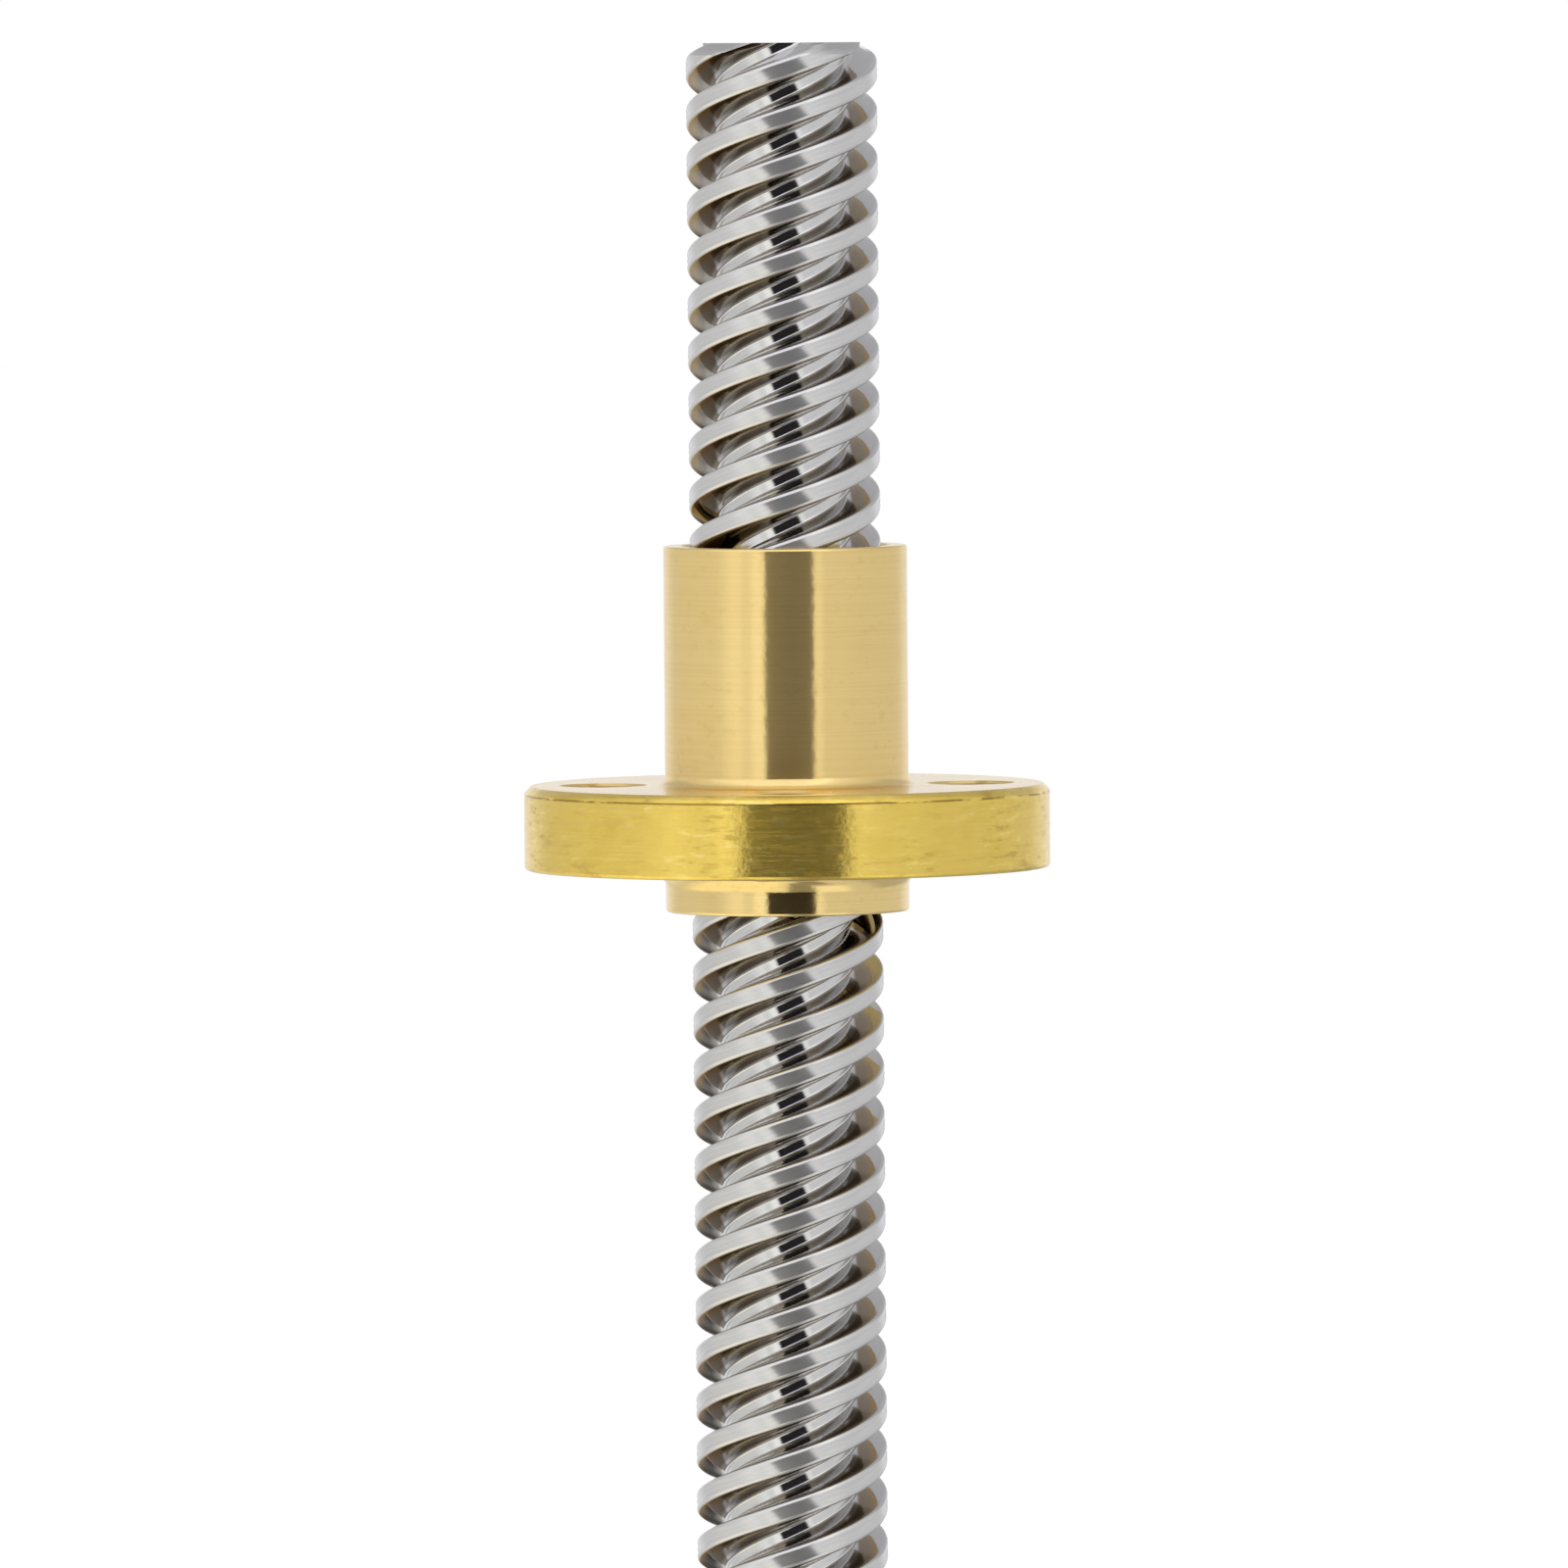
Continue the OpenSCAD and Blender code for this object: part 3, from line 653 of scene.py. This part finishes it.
# the finishes of the parts that keep their CAD shape
CAD_MATERIALS = {
    "front_insulator": plastic_material("bobbin_plastic", (0.62, 0.60, 0.53), rough=0.5),
    "phase_a_coils": winding_material("winding_a", (0.60, 0.20, 0.06)),
    "phase_b_coils": winding_material("winding_b", (0.66, 0.26, 0.09)),
    "terminal_board": board_material(),
    "connector_pins": worn_metal(
        "tinned_pins", (0.78, 0.75, 0.66), rough=0.22, grain=0.0003, depth=0.00001),
    "front_rotor_cup": worn_metal(
        "rotor_steel", (0.36, 0.36, 0.38), rough=0.34, grain=0.0002, depth=0.00002,
        turned=0.7, haze=0.2, worn=(0.55, 0.55, 0.57)),
    "rotor_magnet": worn_metal(
        "sintered_magnet", (0.16, 0.16, 0.17), rough=0.5, grain=0.0003, depth=0.00002),
    "front_rotor_spacer": worn_metal(
        "spacer_brass", (0.72, 0.53, 0.22), rough=0.25, grain=0.0002, depth=0.00001, turned=0.9),
    "front_bearing_outer_race": worn_metal(
        "ground_race_steel", (0.58, 0.58, 0.60), rough=0.14, grain=0.00015, depth=0.000006, turned=0.9),
    "front_bearing_balls": worn_metal(
        "polished_balls", (0.72, 0.72, 0.74), rough=0.05, grain=0.0006, depth=0.000002, haze=0.03),
    "front_bearing_cage": plastic_material("nylon_cage", (0.52, 0.40, 0.22), rough=0.45),
    "front_bearing_shields": worn_metal(
        "pressed_shield_steel", (0.56, 0.56, 0.58), rough=0.28, grain=0.0002, depth=0.00001, turned=0.8),
    "wave_washer": worn_metal(
        "spring_steel", (0.40, 0.41, 0.44), rough=0.3, grain=0.0003, depth=0.00001, turned=0.5),
}
SAME_AS = {
    "rear_insulator": "front_insulator",
    "rear_rotor_cup": "front_rotor_cup",
    "rear_rotor_spacer": "front_rotor_spacer",
    "front_bearing_inner_race": "front_bearing_outer_race",
    "rear_bearing_outer_race": "front_bearing_outer_race",
    "rear_bearing_inner_race": "front_bearing_outer_race",
    "rear_bearing_balls": "front_bearing_balls",
    "rear_bearing_cage": "front_bearing_cage",
    "rear_bearing_shields": "front_bearing_shields",
}


def dress_cad_nodes():
    """The inner parts keep their CAD shape and get their own finishes."""
    for name, ob in frame["nodes"].items():
        kind = SAME_AS.get(name, name)
        if kind not in CAD_MATERIALS:
            continue
        ob.data.materials.clear()
        ob.data.materials.append(CAD_MATERIALS[kind])


# ---------------------------------------------------------------- the screw and the nut


def build_screw():
    """The threaded rod with its chamfered free end, and the collar and journal that sit in the motor."""
    crest_fillet, root_fillet, row = 0.16, 0.10, 0.1
    end_chamfer, c, overlap = 0.5, 0.25, 0.03

    def cap(z):
        return THREAD_R - end_chamfer + max(0.0, SCREW_TOP - z)

    profile = thread_profile(THREAD_R, THREAD_R - THREAD_DEPTH, CREST_W, crest_fillet, root_fillet)
    rows = int((SCREW_TOP - COLLAR_TOP) / row)
    thread = make_object("thread", *helical(COLLAR_TOP, SCREW_TOP, profile, rows, cap))
    race_top = box_mm("front_bearing_inner_race")[1][2]
    neck = lathe("neck", [
        (0, SCREW_BOTTOM), (JOURNAL_R - c, SCREW_BOTTOM), (JOURNAL_R, SCREW_BOTTOM + c),
        (JOURNAL_R, race_top), (COLLAR_R - c, race_top), (COLLAR_R, race_top + c),
        (COLLAR_R, COLLAR_TOP + overlap), (0, COLLAR_TOP + overlap)], 128)
    ob = join("lead_screw_turned", [thread, neck])
    sharpen(ob, 38)
    weigh(ob)
    piece(ob, MAT["screw"], "screw", "lead_screw")


def nut_profile():
    """The nut's outline as (radius, z) points from its lower face to its upper one."""
    bevel, rim_edge, edge = 0.30, 0.14, 0.10
    round_top, round_under = 0.45, 0.8
    hold = 0.04  # a short straight next to each rounding keeps the long faces flat
    soft, rim_step, top_step = 0.015, 0.02, 0.03  # what the bevel's two corners are blunted by
    under = FLANGE_TOP - FLANGE_T
    pts = [(0, NUT_BOTTOM), (BARREL_R - edge - hold, NUT_BOTTOM)]
    pts += arc(BARREL_R - edge, NUT_BOTTOM + edge, edge, -90, 0, 4)
    pts += [(BARREL_R, NUT_BOTTOM + edge + hold), (BARREL_R, under - round_under - hold)]
    pts += arc(BARREL_R + round_under, under - round_under, round_under, 180, 90, 12)
    pts += [(BARREL_R + round_under + hold, under), (FLANGE_R - rim_edge - hold, under)]
    pts += arc(FLANGE_R - rim_edge, under + rim_edge, rim_edge, -90, 0, 4)
    pts += [(FLANGE_R, under + rim_edge + hold), (FLANGE_R, FLANGE_TOP - bevel - hold)]
    pts += [(FLANGE_R - soft, FLANGE_TOP - bevel + rim_step)]
    pts += [(FLANGE_R - bevel + top_step, FLANGE_TOP - soft)]
    pts += [(FLANGE_R - bevel - hold, FLANGE_TOP), (BARREL_R + round_top + hold, FLANGE_TOP)]
    pts += arc(BARREL_R + round_top, FLANGE_TOP + round_top, round_top, -90, -180, 10)
    pts += [(BARREL_R, FLANGE_TOP + round_top + hold), (BARREL_R, NUT_TOP - edge - hold)]
    pts += arc(BARREL_R - edge, NUT_TOP - edge, edge, 0, 90, 4)
    return pts + [(BARREL_R - edge - hold, NUT_TOP), (0, NUT_TOP)]


def build_nut():
    """The turned body, less its thread, the thread's two mouths and the four holes."""
    body = lathe("nut_body", nut_profile(), 256)
    gap, flank_gap, crest_fillet, root_fillet = 0.25, 0.10, 0.10, 0.08
    row, past = 0.2, 0.5
    major, minor = THREAD_R + gap, THREAD_R - THREAD_DEPTH + gap
    bore = thread_profile(major, minor, CREST_W + 2 * flank_gap, crest_fillet, root_fillet, 3)
    z0, z1 = NUT_BOTTOM - past, NUT_TOP + past
    thread = make_object("nut_thread", *helical(z0, z1, bore, int((z1 - z0) / row)))
    mouth, over, clear = 0.5, 0.3, 0.2
    mouth_r = major + clear
    cones = []
    for z, d in ((NUT_BOTTOM, -1), (NUT_TOP, 1)):
        outer, inner = z + d * over, z - d * mouth
        cone = [(0, outer), (mouth_r + over, outer), (mouth_r - mouth, inner), (0, inner)]
        cones.append(lathe("mouth", cone, 96))
    edge, over = 0.12, 0.4
    wide, low, high = NUT_HOLE_R + edge + over, FLANGE_TOP - FLANGE_T, FLANGE_TOP
    drill = [(0, low - over), (wide, low - over), (NUT_HOLE_R, low + edge), (NUT_HOLE_R, high - edge),
             (wide, high + over), (0, high + over)]
    holes = [moved(lathe("hole", drill, 64), x, y) for x, y in circle(0, 0, NUT_PCD / 2, 4)]
    cut(body, thread, *cones, *holes)
    body.name = "flange_nut_turned"
    sharpen(body, 38)
    weigh(body)
    piece(body, MAT["nut"], "nut", "flange_nut")


# ---------------------------------------------------------------- the motor's outside


def body_outline(half, cut_by, soft=0.5, steps=4):
    """Square with 45 degree corners, and each of its eight corners rounded."""
    c = half - cut_by
    pts = [(half, -c), (half, c), (c, half), (-c, half), (-half, c), (-half, -c), (-c, -half), (c, -half)]
    out = []
    for i, p in enumerate(pts):
        p = Vector(p)
        a = (Vector(pts[i - 1]) - p).normalized()
        b = (Vector(pts[(i + 1) % 8]) - p).normalized()
        reach = soft * math.tan(math.radians(22.5))
        start, end = p + a * reach, p + b * reach
        for k in range(steps + 1):
            t = k / steps
            q = start * (1 - t) ** 2 + p * 2 * t * (1 - t) + end * t ** 2
            out.append((q.x, q.y))
    return out


def threaded_cutter(z0, z1, r_minor, r_major, pitch):
    """Cutter for a tapped hole on the axis: a one-start V thread."""
    n, rows_per_turn, flank = 24, 12, 1.15
    rows = int((z1 - z0) / pitch * rows_per_turn)
    verts = []
    for j in range(rows + 1):
        z = z0 + (z1 - z0) * j / rows
        for i in range(n):
            a = 2 * math.pi * i / n
            from_crest = abs((z / pitch - i / n + 0.5) % 1.0 - 0.5) * 2
            r = r_major - (r_major - r_minor) * min(1.0, from_crest * flank)
            verts.append((r * math.cos(a), r * math.sin(a), z))
    triangles = [t for a, b, c, d in ring_quads(n, rows) for t in ((a, b, c), (a, c, d))]
    return make_object("tap", verts, triangles + ring_caps(n, rows))


def build_front_cap():
    """The casting with its pilot, less the cavity, the shaft's hole and the holes in its corners."""
    body = bevelled(prism("front_cap", body_outline(FRAME_H, CORNER_CUT), STACK_TOP, 0), CAP_EDGE)
    c, root = 0.2, -1.0
    pilot = [(0, root), (PILOT_R, root), (PILOT_R, PILOT_H - c), (PILOT_R - c, PILOT_H), (0, PILOT_H)]
    cut(body, lathe("pilot", pilot), operation="UNION")
    ceiling, shaft_r, lead_in, over, below = -5.0, 5.5, 0.3, 0.5, STACK_TOP - PAST
    inside = [
        (0, below), (CAVITY_R, below), (CAVITY_R, ceiling - CAVITY_EDGE), (CAVITY_R - CAVITY_EDGE, ceiling),
        (BEARING_R, ceiling), (BEARING_R, FRONT_RACE_TOP), (shaft_r, FRONT_RACE_TOP),
        (shaft_r, PILOT_H - lead_in), (shaft_r + lead_in + over, PILOT_H + over), (0, PILOT_H + over)]
    tools = [lathe("inside", inside)]
    tap_end, tap_minor, tap_major, tap_pitch = -4.52, 1.25, 1.47, 0.5
    sink_r, sink_depth, clear_r, clear_top = 1.3, 0.35, 1.5, -4.4
    sink = [(0, -sink_depth), (sink_r, -sink_depth), (sink_r + sink_depth + over, over), (0, over)]
    clear = [(0, below), (clear_r, below), (clear_r, clear_top), (0, clear_top)]
    for x, y in CORNERS:
        tools.append(moved(threaded_cutter(tap_end, over, tap_minor, tap_major, tap_pitch), x, y))
        tools.append(moved(lathe("cs", sink, 48), x, y))
        tools.append(moved(lathe("clear", clear, 48), x, y))
    cut(body, *tools)
    body.name = "front_cap_casting"
    sharpen(body, 40)
    weigh(body)
    piece(body, MAT["cap"], "motor", "front_end_cap")


def build_rear_cap():
    """The casting with the bearing's boss, less the plug's notch and the screws' wells."""
    body = bevelled(prism("rear_cap", body_outline(FRAME_H, CORNER_CUT), BACK_Z, STACK_BOTTOM), CAP_EDGE)
    boss_r, lead_in, over, above = 10, 0.2, 0.5, STACK_BOTTOM + PAST
    ring = [(boss_r, REAR_FLOOR), (CAVITY_R - CAVITY_EDGE, REAR_FLOOR), (CAVITY_R, REAR_FLOOR + CAVITY_EDGE),
            (CAVITY_R, above), (0, above), (0, REAR_RACE_TOP), (boss_r, REAR_RACE_TOP)]
    pocket = [(0, REAR_FLOOR), (BEARING_R, REAR_FLOOR), (BEARING_R, REAR_RACE_TOP - lead_in),
              (BEARING_R + lead_in + over, REAR_RACE_TOP + over), (0, REAR_RACE_TOP + over)]
    plug, gap, notch_depth = box_mm("connector_housing"), 0.05, 4.5
    notch = block("notch", (plug[0][0] - gap, -FRAME_H - PAST, plug[0][2] - gap),
                  (plug[1][0] + gap, -FRAME_H + notch_depth, above))
    tools = [lathe("ring", ring), lathe("pocket", pocket, 160), notch]
    well_r, well_edge, hole_r, low = 3.2, 0.25, 1.6, BACK_Z - PAST
    well = [(0, low), (well_r + well_edge + PAST, low), (well_r, BACK_Z + well_edge), (well_r, SCREW_SEAT),
            (hole_r, SCREW_SEAT), (hole_r, above), (0, above)]
    tools += [moved(lathe("well", well, 64), x, y) for x, y in CORNERS]
    cut(body, *tools)
    body.name = "rear_cap_casting"
    sharpen(body, 40)
    weigh(body)
    piece(body, MAT["cap"], "motor", "rear_end_cap")


def cross_recess(head):
    """The two wedges that cut the cross into a screw's head."""
    half_w, depth, past = 0.34, 1.45, 0.2
    wide, narrow = 1.6, 0.75
    ends = ((head - past, wide), (head + depth, narrow))
    square = ((-1, -1), (1, -1), (1, 1), (-1, 1))
    verts = [(x * half_l, y * half_w, z) for z, half_l in ends for x, y in square]
    faces = [(3, 2, 1, 0), (4, 5, 6, 7), (0, 1, 5, 4), (1, 2, 6, 5), (2, 3, 7, 6), (3, 0, 4, 7)]
    wedges = [make_object("wedge", verts, faces) for _ in range(2)]
    wedges[1].data.transform(Matrix.Rotation(math.pi / 2, 4, "Z"))
    return wedges


def build_screws():
    """Four pan-head screws, each left turned to its own angle."""
    (_, _, head), (_, _, tip) = box_mm("housing_screws")
    head_r, dome_h, rim_end, edge = 2.75, 1.25, 1.35, 0.12
    shank_r, tip_r, tip_h = 1.45, 1.1, 0.35
    first_turn, next_turn = 0.4, 0.7
    turns = [math.radians(a) for a in (15, 30, 45, 60, 72, 82)]
    outline = [(0, head)] + [(head_r * math.sin(t), head + dome_h * (1 - math.cos(t))) for t in turns]
    outline += [(head_r, head + rim_end), (head_r, SCREW_SEAT - edge), (head_r - edge, SCREW_SEAT)]
    outline += [(shank_r, SCREW_SEAT), (shank_r, tip - tip_h), (tip_r, tip), (0, tip)]
    obs = []
    for n, (x, y) in enumerate(CORNERS):
        screw = cut(lathe("screw", outline, 64), *cross_recess(head))
        screw.data.transform(Matrix.Rotation(first_turn + next_turn * n, 4, "Z"))
        obs.append(moved(screw, x, y))
    ob = join("pan_head_screws", obs)
    sharpen(ob, 35)
    weigh(ob)
    piece(ob, MAT["zinc"], "motor", "housing_screws")


def stator_inner_outline():
    """The bore's outline: eight poles, each with six teeth, from 0 degrees round."""
    poles, teeth = 8, 6
    tooth, tooth_pitch = 1.6, 7.2  # half a tooth's width and the teeth's spacing, in degrees
    slot_r, shoe_r, yoke_r, half_w, shoe_end = 11.6, 12.5, 18.6, 1.7, 0.3
    step = 360 / poles
    shoe = (teeth - 1) / 2 * tooth_pitch + tooth + shoe_end
    at_yoke = math.degrees(math.asin(half_w / yoke_r))
    at_shoe = math.degrees(math.asin(half_w / shoe_r))
    pts = []

    def polar(r, degrees):
        a = math.radians(degrees)
        pts.append((r * math.cos(a), r * math.sin(a)))

    for p in range(poles):
        m = p * step
        polar(yoke_r, m - at_yoke)
        for k in range(6):
            polar(shoe_r, m - at_shoe - (shoe - at_shoe) * k / 5)
        polar(slot_r, m - shoe)
        for t in range(teeth):
            c = m + (t - (teeth - 1) / 2) * tooth_pitch
            polar(slot_r, c - tooth)
            for k in range(3):
                polar(BORE_R, c - tooth + tooth * k)
            polar(slot_r, c + tooth)
        polar(slot_r, m + shoe)
        for k in range(6):
            polar(shoe_r, m + shoe - (shoe - at_shoe) * k / 5)
        for k in range(6):
            polar(yoke_r, m + at_yoke + (step - 2 * at_yoke) * k / 6)
    return pts


def build_stator():
    """A stack of thin sheets: each joint between two sheets shows as a fine groove round the outside."""
    groove, corner_soft, hole_r = 0.05, 0.8, 1.6
    outer = body_outline(STACK_H, CORNER_CUT, corner_soft)
    inner = body_outline(STACK_H - groove, CORNER_CUT, corner_soft)
    openings = [stator_inner_outline()] + [circle(x, y, hole_r, 24) for x, y in CORNERS]
    sheets = round((STACK_TOP - STACK_BOTTOM) / SHEET_T)
    levels = [(STACK_BOTTOM, outer)]
    for k in range(1, sheets):
        z = STACK_BOTTOM + k * (STACK_TOP - STACK_BOTTOM) / sheets
        levels += [(z - groove, outer), (z, inner), (z + groove, outer)]
    levels.append((STACK_TOP, outer))
    bm = bmesh.new()

    def ring(z, outline):
        return [bm.verts.new(Vector((x, y, z)) * MM) for x, y in outline]

    def walls(rings):
        for a, b in zip(rings, rings[1:]):
            for i in range(len(a)):
                k = (i + 1) % len(a)
                bm.faces.new((a[i], a[k], b[k], b[i]))

    def flat_end(loops):
        pairs = [pair for loop in loops for pair in zip(loop, loop[1:] + loop[:1])]
        edges = [bm.edges.get(pair) for pair in pairs]
        bmesh.ops.triangle_fill(bm, use_beauty=True, use_dissolve=False, edges=edges, normal=(0, 0, 1))

    outside = [ring(z, outline) for z, outline in levels]
    bores = [[ring(z, outline) for z in (STACK_BOTTOM, STACK_TOP)] for outline in openings]
    for rings in [outside] + bores:
        walls(rings)
    for end in (0, -1):
        flat_end([outside[end]] + [rings[end] for rings in bores])
    bmesh.ops.recalc_face_normals(bm, faces=bm.faces)
    me = bpy.data.meshes.new("stator_stack")
    bm.to_mesh(me)
    bm.free()
    ob = linked("stator_stack", me)
    sharpen(ob, 30)
    piece(ob, MAT["lamination"], "motor", "stator_laminations")


def build_connector():
    """The plug's shell with its keyed mouth, and the tongue that holds it in the motor."""
    (x0, y0, z0), (x1, _, _) = box_mm("connector_housing")
    z1, back_y, wall, depth = z0 + 5.0, -17.4, 0.8, 6.0
    tongue_t, tongue_y, tongue_back, gap = 0.6, -FRAME_H + 0.3, -FRAME_H + 2.0, 0.05
    key_x, key_half, key_depth, key_past = 4, 0.9, 2.5, 0.5
    shell_edge, tongue_edge, cavity_edge = 0.15, 0.12, 0.2
    body = bevelled(block("shell", (x0, y0, z0), (x1, back_y, z1)), shell_edge, 2)
    tongue = block("tongue", (x0, tongue_y, z1 - tongue_t), (x1, tongue_back, STACK_BOTTOM - gap))
    tongue = bevelled(tongue, tongue_edge, 2)
    cavity = block("cavity", (x0 + wall, y0 - PAST, z0 + wall), (x1 - wall, y0 + depth, z1 - wall))
    cavity = bevelled(cavity, cavity_edge, 2)
    keys = []
    for x in (-key_x, key_x):
        low = (x - key_half, y0 - PAST, z1 - wall - key_past)
        keys.append(block("key", low, (x + key_half, y0 + key_depth, z1 + key_past)))
    cut(body, cavity, *keys)
    ob = join("connector_shell", [body, tongue])
    sharpen(ob, 35)
    weigh(ob)
    piece(ob, MAT["connector"], "motor", "connector_housing")


build_screw()
build_nut()
build_front_cap()
build_rear_cap()
build_screws()
build_stator()
build_connector()
dress_cad_nodes()

# ---------------------------------------------------------------- light, floor and camera

# Bright and dark fields of the light tent, painted in this order over its plain walls. Each has a range of
# azimuth and of height in degrees, the softness of its sides and of its ends, and its colour. Azimuth 0 is
# where the camera stands, and it grows to the camera's right.
TENT_WALL = (0.83, 0.83, 0.835)
TENT_FIELDS = {
    "above": ((-75, 60), (5, 78), (28, 8), (1.28, 1.28, 1.36)),
    "above_right": ((24, 44), (5, 60), (6, 8), (1.55, 1.55, 1.58)),
    "below_left": ((-110, -4), (-85, -8), (22, 6), (1.34, 1.29, 1.09)),
    "below_right": ((22, 62), (-38, -8), (10, 6), (1.22, 1.22, 1.16)),
    "left_strip": ((-60, -21), (-9, 7), (12, 3), (1.13, 1.13, 1.11)),
    "left_dip": ((-43, -33), (-9, 7), (3, 3), (1.00, 1.00, 0.98)),
    "bright_edge": ((-31, -21), (-9, 7), (3, 3), (1.28, 1.28, 1.24)),
    "right_strip": ((27, 35), (-9, 7), (3, 3), (1.12, 1.12, 1.10)),
    "under_gap": ((1, 27), (-62, -8), (4, 6), (0.34, 0.34, 0.32)),
    "floor_edge": ((16, 52), (-80, -48), (10, 8), (0.36, 0.34, 0.31)),
    "back_floor_right": ((95, 165), (-70, -12), (15, 4), (0.58, 0.58, 0.60)),
    "back_floor_left": ((-165, -130), (-70, -12), (12, 4), (0.98, 0.98, 0.97)),
    "behind_right": ((140, 200), (-9, 13), (10, 3), (1.00, 1.00, 1.04)),
    "behind_left": ((-200, -140), (-9, 13), (10, 3), (1.00, 1.00, 1.04)),
    "back_above_right": ((105, 190), (18, 62), (14, 6), (0.58, 0.58, 0.60)),
    "back_above_left": ((-190, -118), (18, 62), (14, 6), (0.58, 0.58, 0.60)),
    "back_gap_right": ((168, 200), (-60, -13), (3, 3), (0.10, 0.10, 0.10)),
    "back_gap_left": ((-200, -169), (-60, -13), (3, 3), (0.10, 0.10, 0.10)),
    "gap": ((-19.5, 26), (-9.5, 7), (2, 2), (0.014, 0.012, 0.014)),
}


def field_mask(g, az, el, az_range, el_range, soft):
    """1 inside the field, falling softly to 0 outside it."""
    mask = 1.0
    for place, (low, high), s in ((az, az_range, soft[0]), (el, el_range, soft[1])):
        mask = g.mul(g.ramp(place, low - s, low + s), g.ramp(place, high + s, high - s), mask)
    return mask


def build_world():
    """White tent with a dark upright gap behind the camera, as the polished metal in the photo shows."""
    world = bpy.data.worlds.new("tent")
    bpy.context.scene.world = world
    world.use_nodes = True
    g = Graph(world.node_tree)

    def glow(color, strength=1.0):
        return g.node("ShaderNodeBackground", {"Color": color, "Strength": strength}).outputs[0]

    x, y, z = g.split(g.node("ShaderNodeTexCoord").outputs["Generated"])
    az = g.mul(g.math("ARCTAN2", x, g.mul(y, -1.0)), 180 / math.pi)
    el = g.mul(g.math("ARCSINE", z), 180 / math.pi)
    tone = g.vector(*TENT_WALL)
    for az_range, el_range, soft, color in TENT_FIELDS.values():
        tone = g.mix(field_mask(g, az, el, az_range, el_range, soft), tone, color)
    # what diffuse surfaces receive: brighter from above and from the left
    matte = g.math("ADD", g.plus(0.86, z, 0.30), g.mul(x, -0.12))
    path = g.node("ShaderNodeLightPath").outputs
    light = g.blend(path["Is Glossy Ray"], glow(g.vector(matte, matte, matte), 1.05), glow(tone))
    light = g.blend(path["Is Camera Ray"], light, glow((1.0, 1.0, 1.0)))
    g.node("ShaderNodeOutputWorld", {"Surface": light})


def build_floor():
    """A pale disc just under the motor. Seen from below it is clear, so that the back of the motor shows."""
    gap, radius, sides = 0.02 * MM, 6.0, 96
    z = CAD_BOX[0][2] - gap
    me = bpy.data.meshes.new("floor")
    me.from_pydata([(x, y, z) for x, y in circle(0, 0, radius, sides)], [], [tuple(range(sides))])
    ob = linked("floor", me)
    m, g = material("pale_floor")
    grain = g.noise(Point(g).p, 900.0)
    base = g.mix(g.ramp(grain, 0.3, 0.7), (0.90, 0.90, 0.90), (0.92, 0.92, 0.92))
    pale = principled(g, color=base, rough=0.9, spec=0.1)
    clear = g.node("ShaderNodeBsdfTransparent").outputs[0]
    from_below = g.node("ShaderNodeNewGeometry").outputs["Backfacing"]
    close(g, g.blend(from_below, pale, clear))
    me.materials.append(m)
    ob.visible_glossy = False


def build_lights():
    """Two soft lamps, in metres and watts. The tent gives the rest of the light and every reflection."""
    aim = Vector((0, 0, 0.02))
    for name, place, power in (("key", (-0.45, -0.5, 0.75), 2.2), ("fill", (0.6, -0.35, 0.45), 0.8)):
        data = bpy.data.lights.new(name, "AREA")
        data.size = 0.5
        data.energy = power
        ob = linked(name, data)
        ob.location = place
        ob.rotation_euler = (aim - Vector(place)).to_track_quat("-Z", "Y").to_euler()
        ob.visible_glossy = False
        ob.visible_camera = False


def build_camera():
    """A long lens, slightly above the flange's height and slightly rolled, as in the photo."""
    data = bpy.data.cameras.new("camera")
    cam = linked("camera", data)
    bpy.context.scene.camera = cam
    data.sensor_width = 36.0
    data.lens = 384.0
    data.clip_start, data.clip_end = 0.02, 50.0
    pitch, roll, away = math.radians(2.6), math.radians(-0.44), 0.700
    aim = Vector((-0.00012, 0.0, FLANGE_TOP * MM))
    back = Vector((0.0, -math.cos(pitch), math.sin(pitch)))
    cam.location = aim + back * away
    turn = (-back).to_track_quat("-Z", "Y").to_matrix() @ Matrix.Rotation(roll, 3, "Z")
    cam.rotation_euler = turn.to_euler()


build_world()
build_floor()
build_lights()
build_camera()
bpy.context.scene.view_settings.view_transform = "Standard"
